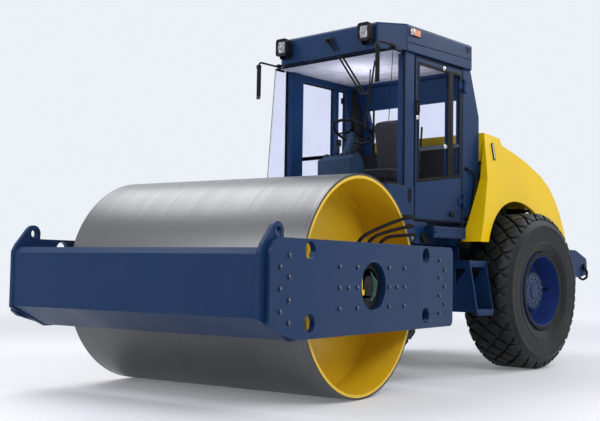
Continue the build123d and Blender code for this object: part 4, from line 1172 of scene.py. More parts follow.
@dataclass
class DriveHoses:
    """Three rubber hoses from the tractor's block to the drum motor."""

    radius: float = 0.013  # a hose's radius
    ferrule: float = 0.0155  # radius of the crimped ferrules
    bend_start: Point = (0.43, 0.71, 1.27)  # where a hose begins to leave the tractor
    bend_end: Point = (0.8, 1.106, 1.26)  # where it has joined the drum frame
    # the points of each hose
    runs: tuple = (
        ((0.385, 0.692, 1.33), (0.51, 0.75, 1.338), (0.655, 0.915, 1.345),
         (0.79, 1.108, 1.336), (1.046, 1.106, 1.302), (1.39, 1.098, 1.215),
         (1.6, 1.098, 1.155), (1.69, 1.098, 1.09), (1.72, 1.098, 1.003)),
        ((0.385, 0.692, 1.265), (0.51, 0.75, 1.27), (0.655, 0.915, 1.272),
         (0.79, 1.108, 1.264), (1.046, 1.106, 1.234), (1.29, 1.098, 1.19),
         (1.46, 1.098, 1.15), (1.55, 1.098, 1.088), (1.585, 1.098, 1.001)),
        ((0.385, 0.692, 1.201), (0.51, 0.75, 1.199), (0.655, 0.915, 1.198),
         (0.79, 1.108, 1.194), (1.03, 1.106, 1.178), (1.19, 1.098, 1.166),
         (1.298, 1.098, 1.142), (1.39, 1.098, 1.084), (1.43, 1.098, 1.001)))

    def make(self) -> None:
        """Builds the hoses with a crimped ferrule at each end."""
        hoses = Piece("drive_hoses", HOSE_RUBBER, DRUM_FRAME)
        near = Piece("hose_ferrules_tractor", BLACK_PAINT, DRUM_FRAME)
        far = Piece("hose_ferrules_drum", BLACK_PAINT, DRUM_FRAME)
        crimps = [(0.0, 0.0), (self.ferrule, 0.0), (self.ferrule, 0.006)]
        crimps += [(self.ferrule - dip, along) for dip, along in
                   ((0.001, 0.008), (0, 0.012), (0.001, 0.018), (0, 0.024), (0.001, 0.034), (0.002, 0.036))]
        for run in self.runs:
            hoses.add(hose(run, self.radius))
            for piece, end, inner in ((near, run[0], run[1]), (far, run[-1], run[-2])):
                place = facing(end, Vector(inner) - Vector(end))
                piece.add(lathe(crimps, 20), place)
                piece.add(bolt(self.ferrule + 0.001, 0.012, washer=False), place)
        made = hoses.make(None, "hoses", slot="hose_rubber")
        DRUM_FRAME @ Vector(self.bend_start)
        DRUM_FRAME @ Vector(self.bend_end)
        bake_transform(made)
        near.make()
        far.make("drum_frame")


@dataclass
class SteeringGear:
    """Glands, ports and pipes on the two steering cylinders, and the pivot's grease points."""

    rear_pin: Pair = (-0.7, 0.43)  # barrel pin on the tractor, left side, as (x, y)
    front_pin: Pair = (0.15, 0.34)  # rod pin on the drum frame, left side, as (x, y)
    level: float = 0.79  # height of both cylinders
    barrel_end: float = 0.541  # distance of the barrel's open end from its pin
    ports: Pair = (0.12, 0.49)  # distances of its two ports from its pin

    def make(self) -> None:
        """Builds both cylinders' details."""
        for side in Side:
            self._cylinder(side)
        paint_nodes(CAST, "pivot_pin")
        cap = Piece("pivot_cap", BOLT_STEEL)
        cap.add(bolt(0.009, 0.006), *(at(0.045 * cos(a), 0.045 * sin(a), 0.955)
                                      for a in (0.3, 1.87, 3.44, 5.01)))
        cap.make()

    def _cylinder(self, side: Side) -> None:
        """Builds a barrel's gland and pipe, and the caps of its rod's pin.

        Args:
            side: Side of the machine.
        """
        paint_nodes(YELLOW, f"steering_barrel_{side}")
        paint_nodes(CHROME, f"steering_rod_{side}")
        pin = Vector((self.rear_pin[0], side * self.rear_pin[1], self.level))
        head = Matrix.Rotation(STEER_AT_REST, 4, "Z") @ Vector(
            (self.front_pin[0], side * self.front_pin[1], self.level))
        fittings = Piece(f"barrel_fittings_{side}", BLACK_PAINT, TRACTOR @ facing(pin, head - pin))
        end = self.barrel_end
        fittings.add(lathe(((0.029, end + 0.005), (0.05, end + 0.005), (0.0545, end),
                            (0.0545, end - 0.039), (0.05, end - 0.043)), 32))
        low, high = self.ports
        fittings.add(tube(((0.0, -0.048, low), (0.0, -0.075, low + 0.02),
                           (0.0, -0.075, high - 0.03), (0.0, -0.05, high)), 0.006, 0.02, sides=8))
        fittings.add(lathe(((0.012, 0), (0.012, 0.016), (0, 0.016)), 12),
                     *(facing((0, -0.046, reach), (0, -1, 0)) for reach in self.ports))
        fittings.make(f"steering_barrel_{side}")
        caps = Piece(f"rod_eye_{side}", BOLT_STEEL)
        caps.add(lathe(((0.036, 0), (0.036, 0.004), (0, 0.004)), 24),
                 *(facing(head + Vector((0, 0, up * 0.0755)), (0, 0, up)) for up in (1, -1)))
        caps.make("drum_frame")


@dataclass
class Wheel:
    """A drive wheel: tyre with a diamond tread, and the fastenings of its rim and hub."""

    side: Side  # side of the machine
    shoulder: float = 0.229  # how far across the blocks reach
    pitches: int = 26  # number of blocks round a row
    gap: float = 0.024  # width of the grooves
    depth: float = 0.026  # depth of the grooves
    rim_face: float = 0.228  # distance of the rim's outer face from the wheel's middle
    hub_radius: float = 0.181  # radius of the hub cap
    # count, circle, level and size of each ring of bolts
    bolt_rings: tuple = ((20, 0.232, 0.024, 0.0155), (12, 0.115, 0.137, 0.01), (16, 0.163, 0.1325, 0.008))

    def make(self) -> None:
        """Builds the wheel."""
        place = TRACTOR @ outward(self.side, AXLE_X, WHEEL_Y, WHEEL_RADIUS)
        self._tyre(place)
        self._rim(place)

    def _tyre(self, place: Matrix) -> None:
        """Builds the tyre with its blocks.

        Args:
            place: Frame at the wheel's middle, local Z along the axle to the outside.
        """
        tyre = Piece(f"tread_tyre_{self.side}", TYRE_RUBBER, place)
        base = WHEEL_RADIUS - self.depth
        half = ((0.347, 0.205), (0.368, 0.2095), (0.38, 0.219), (0.43, 0.243), (0.45, 0.2475),
                (0.455, 0.2505), (0.462, 0.2505), (0.467, 0.2475), (0.53, 0.2525),
                (0.575, 0.2535), (0.6, 0.2525), (0.606, 0.2545), (0.622, 0.2545),
                (0.628, 0.2505), (0.655, 0.238), (0.68, 0.221), (base - 0.012, 0.19), (base, 0.15))
        profile = [(radius, -width) for radius, width in half]
        profile += [(radius, width) for radius, width in reversed(half)]
        tyre.add(lathe(profile, 96, closed=True))
        for outline in self._blocks():
            tyre.add(self._block(outline), *(Matrix.Rotation(2 * pi * step / self.pitches, 4, "Z")
                                             for step in range(self.pitches)))
        tyre.make(f"wheel_{self.side}", f"tyre_{self.side}", slot="tyre", sharp=30)

    def _blocks(self) -> list[Outline]:
        """Draws one pitch's blocks, as (way round, across), trimmed at the shoulders.

        Returns:
            The blocks' outlines.
        """
        half = pi * WHEEL_RADIUS / self.pitches
        reach = half - self.gap * 0.7071
        outlines = []
        for row in range(-4, 5):
            middle = abs(row) * half
            outer = 1 if row >= 0 else -1
            shift = half * ((row + 1) % 2)
            cut = self.shoulder - middle
            if cut >= reach:
                corners = [(reach, middle), (0, middle + reach), (-reach, middle)]
            elif cut > 0:
                corners = [(reach, middle), (reach - cut, self.shoulder),
                           (cut - reach, self.shoulder), (-reach, middle)]
            elif cut > 0.012 - reach:
                corners = [(reach + cut, self.shoulder), (-reach - cut, self.shoulder)]
            else:
                continue
            corners.append((0, middle - reach))
            outlines.append([(shift + way, outer * across) for way, across in corners])
        return outlines

    def _block(self, outline: Outline) -> Part:
        """Rounds one block and bends it round the tyre.

        Args:
            outline: Its corners, as (way round, across).

        Returns:
            The block.
        """
        part = plate(outline, self.depth + 0.004, 0.0045)
        bmesh.ops.triangulate(part, faces=[face for face in part.faces if len(face.verts) > 4])
        cuts = [edge for edge in part.edges if edge.calc_length() > 0.07]
        bmesh.ops.subdivide_edges(part, edges=cuts, cuts=3, use_grid_fill=True)
        base = WHEEL_RADIUS - self.depth - 0.0045
        for vertex in part.verts:
            way, across, height = vertex.co
            slope = max(0.0, abs(across) - 0.178)
            radius = base + height - 6.0 * slope ** 2 - 0.7 * slope
            angle = way / WHEEL_RADIUS
            vertex.co = (radius * cos(angle), radius * sin(angle), across)
        return part

    def _rim(self, place: Matrix) -> None:
        """Builds the rim's lip, hub cap, bolts and valve.

        Args:
            place: Frame at the wheel's middle, local Z along the axle to the outside.
        """
        side, body = self.side, f"wheel_{self.side}"
        paint_nodes(RIM_BLUE, f"rim_{side}")
        face, radius = self.rim_face, self.hub_radius
        Piece(f"rim_lip_{side}", BLACK_PAINT, place).add(
            lathe([(0.3315, face - 0.002), (0.3315, face + 0.0015), (0.334, face + 0.004),
                   (0.356, face + 0.004), (0.3655, face + 0.001), (0.3655, face - 0.002)],
                  72, closed=True)).make(body)
        Piece(f"hub_cap_{side}", HUB_SLATE, place).add(
            lathe(((radius, 0.02), (radius, 0.116), (radius - 0.009, 0.1318), (0.15, 0.1335),
                   (0.146, 0.137), (0.08, 0.137), (0.076, 0.146), (0.062, 0.15), (0, 0.15)), 64)).make(body)
        bolts = Piece(f"wheel_bolts_{side}", PLATE_BOLT, place)
        for count, ring, level, size in self.bolt_rings:
            bolts.add(bolt(size, size * 0.8), *(at(x, y, level) for x, y in circle(count, ring, 0.5)))
        bolts.make(body)
        Piece(f"valve_{side}", BLACK_PLASTIC, place).add(
            tube(((0.318, 0.02, 0.04), (0.318, 0.02, 0.09), (0.3, 0.02, 0.14)), 0.005, 0.02,
                 sides=10)).make(body)


@dataclass
class Ladder:
    """Grip studs, bolts and edge bars of one access ladder."""

    side: Side  # side of the machine
    front: float = -0.5  # front edge, lengthwise
    rear: float = -0.775  # rear edge, lengthwise
    treads: tuple = ((0.58, 1.066), (1.005, 0.986))  # height and outer edge of each tread

    def make(self) -> None:
        """Builds the ladder's details."""
        side = self.side
        paint_nodes(NAVY, f"ladder_{side}")
        studs = Piece(f"ladder_studs_{side}", NAVY)
        stud = ((0.0115, 0), (0.0085, 0.005), (0.005, 0.005), (0.004, 0.002))
        studs.add(lathe(stud, 12),
                  *(at(self.front - 0.032 - column * 0.042 - (row % 2) * 0.01,
                       side * (outer - 0.035 - row * 0.062), top)
                    for top, outer in self.treads for row in range(4) for column in range(6)))
        for top, outer in self.treads:
            studs.add(block((self.front - 0.004, side * (outer - 0.01), top - 0.052),
                            (self.rear + 0.004, side * (outer - 0.002), top + 0.004), 0.003))
        studs.make()
        bolts = Piece(f"ladder_bolts_{side}", BOLT_STEEL)
        edge = Piece(f"ladder_edges_{side}", NAVY)
        places = []
        for x, way in ((self.front, 1), (self.rear, -1)):
            places += [facing((x, side * y, z), (way, 0, 0)) for y in (0.64, 0.672) for z in (1.045, 1.105)]
            off = x + way * 0.003
            edge.add(tube(((off, side * 1.06, 0.56), (off, side * 0.981, 1.006),
                           (off, side * 0.7, 1.008)), 0.0045, sides=8))
        bolts.add(bolt(0.011, 0.009), *places).make()
        edge.make()


@dataclass
class Deck:
    """Mounts, tool boxes and hose clamp on the deck under the cab."""

    half_width: float = 0.7  # distance of the deck's sides from the middle
    box_face: float = 0.8  # distance of a tool box's face from the middle
    block_face: float = 0.755  # distance of the hose block's face from the middle
    top: float = 1.3045  # height of the steps' grip bars

    def make(self) -> None:
        """Builds the deck's details."""
        paint_nodes(NAVY, "deck", "cab_floor")
        for side in Side:
            self._side(side)
        clamp = Piece("hose_clamp", BLACK_PAINT)
        clamp.add(block((0.252, 0.7, 1.172), (0.27, 0.752, 1.362), 0.004))
        clamp.add(bolt(0.01, 0.008), *(facing((0.27, 0.712, z), (1, 0, 0)) for z in (1.184, 1.35))).make()
        bolts = Piece("block_bolts", BOLT_STEEL)
        for side in Side:
            bolts.add(bolt(0.011, 0.009), *(outward(side, x, self.block_face, z)
                                            for x in (0.05, 0.23) for z in (1.19, 1.3)))
        bolts.make()

    def _side(self, side: Side) -> None:
        """Builds the cab's rubber mounts, a tool box's lid and a step's grip bars.

        Args:
            side: Side of the machine.
        """
        ribs = ((0.0, 0), (0.046, 0), (0.052, 0.008), (0.046, 0.018), (0.052, 0.028),
                (0.046, 0.034), (0, 0.034))
        Piece(f"cab_pads_{side}", SEAL).add(
            lathe(ribs, 24), *(outward(side, x, self.half_width - 0.001, 1.2) for x in (-0.2, 0.0))).make()
        box = Piece(f"tool_box_{side}", NAVY)
        outline = [(0.245, -0.035), (0.245, 0.035), (-0.245, 0.035), (-0.245, -0.035)]
        box.add(border(outline, 0.004, 0.006, 0.004), outward(side, -0.47, self.box_face - 0.0005, 1.255))
        box.add(bolt(0.009, 0.006), *(outward(side, x, self.box_face, 1.255)
                                      for x in (-0.69, -0.25))).make()
        Piece(f"step_grip_{side}", BLACK_PAINT).add(
            block((-0.008, -0.08, 0), (0.008, 0.08, 0.004), 0.002, 1),
            *(at(-0.7 + column * 0.042, side * 0.7, self.top) for column in range(12))).make()


@dataclass
class Cab:
    """Seals, fittings, lamps and mirrors of the cab's shell."""

    half_width: float = 0.7  # distance of the doors' outer faces from the middle
    roof_half: float = 0.725  # half width of the roof
    sill: float = 1.7  # height of the door window's lower edge at the front
    head: float = 2.735  # height of the door windows' upper edge
    glass_foot: Pair = (0.35, 1.64)  # lower edge of the windscreen, as (along, up)
    glass_head: Pair = (0.255, 2.8)  # upper edge of the windscreen, as (along, up)
    glass_half: float = 0.688  # half width of the windscreen
    rear_face: float = -1.11  # place of the rear window's face, lengthwise
    hinges: Pair = (1.56, 2.64)  # heights of the doors' hinges
    mirror: Point = (0.48, 0.69, 2.6305)  # middle of the left mirror
    mirror_turns: Pair = (37.5, 45.5)  # how far each mirror is turned, in degrees

    def make(self) -> None:
        """Builds all details of the cab."""
        paint_nodes(NAVY, "cab_front", "cab_rear", "roof", "door_left", "door_right")
        paint_nodes(CLEAR_GLASS, "windscreen", "corner_pane_left", "corner_pane_right",
                    "rear_window", "door_glass_left", "door_glass_right")
        paint_nodes(BLACK_PAINT, "handrails")
        paint_nodes(BLACK_PLASTIC, "work_lamps")
        paint_nodes(AMBER, "turn_lamps")
        for side in Side:
            self._door(side)
            self._hinges(side)
            self._post(side)
            self._work_lamp(side)
            self._turn_lamp(side)
            self._mirror(side)
        self._windscreen()
        self._wiper()
        Piece("rear_window_seal", SEAL).add(
            border(rectangle(-0.56, 1.97, 0.56, 2.69), 0.012, 0.012, 0.006),
            rear_sheet(self.rear_face)).make()
        self._roof()

    def _panes(self) -> list[Outline]:
        """Outlines of a door's two windows, as (along, up)."""
        return [[(-0.11, self.sill), (-0.11, self.head), (-0.59, self.head), (-0.59, self.sill + 0.067)],
                [(-0.65, self.sill + 0.075), (-0.65, self.head), (-0.78, self.head),
                 (-0.78, self.sill + 0.093)]]

    def _door(self, side: Side) -> None:
        """Builds a door's seals, bar, handle and knobs.

        Args:
            side: Side of the machine.
        """
        body = f"door_{side}"
        face = side_sheet(side, self.half_width)
        seals = Piece(f"door_seals_{side}", SEAL)
        for outline in self._panes():
            seals.add(border(outline, 0.016, 0.012, 0.005), face)
        seals.add(border([(-0.06, 1.36), (-0.06, 2.791), (-0.82, 2.791), (-0.82, 1.36)],
                         0.0, 0.011, 0.003), face)
        divider = [(-0.604, self.sill + 0.07), (-0.604, self.head + 0.005),
                   (-0.636, self.head + 0.005), (-0.636, self.sill + 0.075)]
        seals.add(plate(divider, 0.006, 0.002), face).make(body)
        bar = Piece(f"door_bar_{side}", GREY_PAINT)
        for front, rear in ((-0.112, -0.588), (-0.652, -0.778)):
            low, high = (1.956 - 0.16 * (x + 0.112) for x in (front, rear))
            bar.add(plate([(front, low), (front, low + 0.024), (rear, high + 0.024),
                           (rear, high)], 0.007, 0.002), side_sheet(side, 0.6935))
        bar.make(body)
        handle = Piece(f"door_handle_{side}", BLACK_PLASTIC)
        y = side * self.half_width
        off = y + side * 0.024
        handle.add(tube(((-0.085, y, 2.278), (-0.085, off, 2.29), (-0.085, off, 2.388),
                         (-0.085, y, 2.4)), 0.008, 0.012))
        handle.add(block((-0.104, y, 2.262), (-0.066, y + side * 0.006, 2.416), 0.004))
        handle.add(block((-0.685, y, 1.41), (-0.61, y + side * 0.012, 1.46), 0.005))
        off = y + side * 0.026
        handle.add(tube(((-0.64, y, 1.435), (-0.64, off, 1.435), (-0.595, off, 1.428)),
                        0.008, 0.008)).make(body)
        knob = ((0.019, 0), (0.019, 0.006), (0.013, 0.009), (0.013, 0.016), (0, 0.018))
        spots = ((-0.5, 2.752), (-0.523, 2.04), (-0.085, 2.25))
        Piece(f"door_knobs_{side}", CHROME).add(
            lathe(knob, 24), *(outward(side, x, self.half_width, z) for x, z in spots)).make(body)

    def _hinges(self, side: Side) -> None:
        """Builds the bolts of a door's hinges and the feet of the handrail beside it.

        Args:
            side: Side of the machine.
        """
        for name, x, half, body in (("hinge_bolts", -0.765, 0.015, f"door_{side}"),
                                    ("hinge_leaf_bolts", -0.868, 0.045, "tractor")):
            bolts = Piece(f"{name}_{side}", NAVY)
            for z in self.hinges:
                bolts.add(bolt(0.008, 0.006),
                          *(outward(side, x, self.half_width + 0.01, z + rise) for rise in (-half, half)))
            bolts.make(body)
        foot = ((0.022, 0), (0.022, 0.005), (0.012, 0.007), (0.012, 0.012))
        Piece(f"rail_feet_{side}", BLACK_PAINT).add(
            lathe(foot, 20), *(outward(side, x, self.half_width, z)
                               for x, z in ((-0.885, 1.87), (-0.868, 1.406)))).make()

    def _post(self, side: Side) -> None:
        """Builds the seals beside the corner pane and the oval recess low on the post.

        Args:
            side: Side of the machine.
        """
        seal = Piece(f"corner_seal_{side}", SEAL)
        inner, outer = side * 0.684, side * 0.6975
        seal.add(block((0.086, inner, 1.64), (0.102, side * 0.6985, 2.806), 0.003))
        seal.add(block((0.13, inner, 1.636), (0.35, outer, 1.66), 0.003))
        seal.add(block((0.13, inner, 2.786), (0.25, outer, 2.806), 0.003))
        seal.make()
        oval = [(u * (1.0 if abs(v) < 0.045 / 0.062 else 0.85) * 0.02, v * 0.062)
                for u, v in circle(24, 1.0)]
        place = outward(side, 0.012, self.half_width, 1.562)
        Piece(f"post_recess_{side}", SEAL).add(border(oval, 0.004, 0.003, 0.004), place).add(
            plate(oval, 0.0012), place).make()

    def _windscreen(self) -> None:
        """Builds the windscreen's seals."""
        (foot, low), (head, high) = self.glass_foot, self.glass_head
        lean, length = atan2(foot - head, high - low), hypot(foot - head, high - low)
        seal = Piece("windscreen_seal", SEAL,
                     TRACTOR @ facing((foot + 0.0005, 0, low), (cos(lean), 0, sin(lean))))
        half = self.glass_half
        seal.add(border(rectangle(-half, 0.0, half, length), 0.002, 0.004, 0.003))
        for edge in (0.0, length - 0.012):
            seal.add(block((0.002 - half, edge, 0.0), (half - 0.002, edge + 0.012, 0.004), 0.001, 1))
        seal.make()

    def _on_glass(self, y: float, z: float, off: float) -> Point:
        """Finds a point off the windscreen's face.

        Args:
            y: Its place across the machine.
            z: Its height.
            off: Its distance in front of the face.

        Returns:
            The point.
        """
        (foot, low), (head, high) = self.glass_foot, self.glass_head
        return (foot - (foot - head) * (z - low) / (high - low) + off, y, z)

    def _wiper(self) -> None:
        """Builds the wiper's motor cap, arms, bow and blade."""
        wiper, point = Piece("wiper", BLACK_PAINT), self._on_glass
        wiper.add(block((0.34, 0.008, 2.93), (0.352, 0.088, 2.972), 0.004))
        wiper.add(lathe(((0.016, 0), (0.016, 0.02), (0.01, 0.026), (0, 0.026)), 20),
                  facing((0.35, 0.035, 2.95), (1, 0, 0)))
        for shift in (0.0, 0.04):
            wiper.add(tube(((0.366, 0.03 + shift, 2.955), point(0.1 + shift, 2.84, 0.06),
                            point(0.395 + shift, 2.43, 0.024)), 0.0085, 0.1, sides=8))
        wiper.add(tube((point(0.39, 2.432, 0.024), point(0.478, 2.425, 0.024)), 0.008, sides=8))
        wiper.add(tube((point(0.47, 2.64, 0.018), point(0.474, 2.425, 0.026),
                        point(0.455, 2.24, 0.018)), 0.006, sides=8))
        wiper.add(tube((point(0.507, 2.717, 0.01), point(0.439, 2.134, 0.01)), 0.0075, sides=8)).make()

    def _roof(self) -> None:
        """Builds the roof's seam, vents and headliner."""
        seam = Piece("roof_seam", SEAL)
        vent = Piece("roof_vent", BLACK_PLASTIC)
        for side in Side:
            y = side * self.roof_half
            seam.add(tube(((-0.93, y, 2.904), (0.08, y, 2.884), (0.296, side * 0.567, 2.884)),
                          0.0035, sides=6))
            for row in range(4):
                low = 2.962 + row * 0.014
                vent.add(block((-0.915, side * 0.7235, low), (-0.835, side * 0.7285, low + 0.008),
                               0.002, 1))
        seam.make()
        vent.make()
        liner = Piece("headliner", LINING)
        liner.add(block((-0.9, -0.648, 2.792), (0.235, 0.648, 2.808), 0.006))
        for x in (-0.65, -0.43, -0.21):
            liner.add(block((x - 0.006, -0.62, 2.787), (x + 0.006, 0.62, 2.793), 0.003, 1))
        liner.add(lathe(((0, -0.016), (0.045, -0.014), (0.055, 0.0)), 28), at(-0.3, 0, 2.792)).make()

    def _work_lamp(self, side: Side) -> None:
        """Builds the bowl, rim, lens and bracket of a work lamp.

        Args:
            side: Side of the machine.
        """
        y, z = side * 0.48, 2.95
        place = TRACTOR @ facing((0.398, y, z), (1, 0, 0))
        outline = rounded_outline(0.104, 0.13, 0.018)
        Piece(f"lamp_bowl_{side}", CHROME, place).add(
            lathe(((0.04, 0.005), (0.034, -0.0005), (0.01, -0.0015), (0, -0.0015)), 32)).make()
        Piece(f"lamp_rim_{side}", BLACK_PLASTIC, place).add(border(outline, 0.0, 0.014, 0.007)).make()
        Piece(f"lamp_lens_{side}", LAMP_CLEAR, place).add(
            plate(inset(outline, 0.005), 0.003, 0.001)).add(
            lathe(((0.011, 0.003), (0.011, 0.0075), (0.006, 0.01), (0, 0.01)), 20)).make()
        bracket = Piece(f"lamp_bracket_{side}", BLACK_PAINT)
        for step in (-0.045, 0.045):
            bracket.add(block((0.318, y + step - 0.004, z - 0.098),
                              (0.372, y + step + 0.004, z - 0.02), 0.002))
        bracket.add(bolt(0.008, 0.007), *(facing((0.35, y + way * 0.049, z - 0.045), (0, way, 0))
                                          for way in (1, -1))).make()

    def _turn_lamp(self, side: Side) -> None:
        """Builds the lens and base of a turn lamp.

        Args:
            side: Side of the machine.
        """
        wedge = [(0.062, 0), (0.036, side * 0.0175), (0.012, side * 0.0175), (0.012, 0)]
        Piece(f"turn_lamp_lens_{side}", LAMP_CLEAR).add(
            plate(wedge, 0.056, 0.001), at(0, side * self.roof_half, 2.952)).make()
        Piece(f"turn_lamp_base_{side}", BLACK_PLASTIC).add(
            border(rectangle(-0.088, 2.95, 0.064, 3.01), 0.003, 0.004, 0.005),
            side_sheet(side, self.roof_half)).make()

    def _mirror(self, side: Side) -> None:
        """Builds the glass, rim and clamps of a mirror.

        Args:
            side: Side of the machine.
        """
        paint_nodes(BLACK_PLASTIC, f"mirror_{side}")
        turn = radians(self.mirror_turns[0 if side is Side.LEFT else 1])
        x, y, z = self.mirror
        back = Vector((-sin(turn), cos(turn), 0))
        place = TRACTOR @ facing(Vector((x, side * y, z)) + back * 0.0165, back)
        outline = rounded_outline(0.158, 0.263, 0.015)
        Piece(f"mirror_rim_{side}", BLACK_PLASTIC, place).add(border(outline, 0.0, 0.009, 0.004)).make()
        Piece(f"mirror_glass_{side}", MIRROR_GLASS, place).add(
            plate(inset(outline, 0.006), 0.002, 0.0005)).make()
        clamp = Piece(f"mirror_clamp_{side}", BLACK_PAINT)
        clamp.add(block((0.462, side * y - 0.018, 2.765), (0.498, side * y + 0.018, 2.8), 0.005))
        clamp.add(block((0.205, side * 0.655, 2.812), (0.245, side * y, 2.846), 0.005)).make()


@dataclass
class Cushion:
    """A stuffed pad whose top is crowned, whose sides pull in and which is sewn in channels."""

    length: float  # size along local X
    width: float  # size along local Y
    height: float  # size along local Z
    crown: float  # how far the top swells
    channels: tuple[float, ...] = ()  # places of the sewn channels along local X, from -1 to 1
    roundness: float = 7.0  # power of the pad's rounded box; a higher one gives squarer edges
    pull: float = 0.03  # share by which the sides pull in between the corners
    sewn: float = 0.008  # depth of a channel

    def point(self, u: float, v: float, w: float) -> Vector:
        """Maps a point of the cube from -1 to 1 to the pad's surface.

        Args:
            u: Place along the pad.
            v: Place across it.
            w: Height in it.

        Returns:
            The point on the pad.
        """
        power = self.roundness
        size = (abs(u) ** power + abs(v) ** power + abs(w) ** power) ** (1 / power)
        u, v, w = u / size, v / size, w / size
        x = u * self.length / 2 * (1 - self.pull * (1 - v * v))
        y = v * self.width / 2 * (1 - self.pull * (1 - u * u))
        z = w * self.height / 2
        if w > 0:
            z += w * self.crown * (1 - u * u) * (1 - v * v)
            z += w * 0.35 * self.crown * abs(v) ** 3 * (1 - v ** 8)
            for channel in self.channels:
                z -= w * self.sewn * exp(-((u - channel) / 0.035) ** 2) * (1 - v ** 6)
        return Vector((x, y, z))

    def build(self) -> Part:
        """Builds the pad."""
        part = bmesh.new()
        bmesh.ops.create_cube(part, size=2.0)
        bmesh.ops.subdivide_edges(part, edges=part.edges[:], cuts=31, use_grid_fill=True)
        for vertex in part.verts:
            vertex.co = self.point(*vertex.co)
        return part

    def piping(self, level: float) -> Part:
        """Builds the cord sewn round the pad's edge.

        Args:
            level: Its height, from -1 to 1.

        Returns:
            The cord.
        """
        loop = []
        for (u, v), (du, dv) in (((1, -1), (0, 2)), ((1, 1), (-2, 0)), ((-1, 1), (0, -2)),
                                 ((-1, -1), (2, 0))):
            for step in range(12):
                loop.append(self.point(u + du * step / 12, v + dv * step / 12, level))
        loop.append(loop[0])
        return tube([point * 1.004 for point in loop], 0.0032, sides=8)


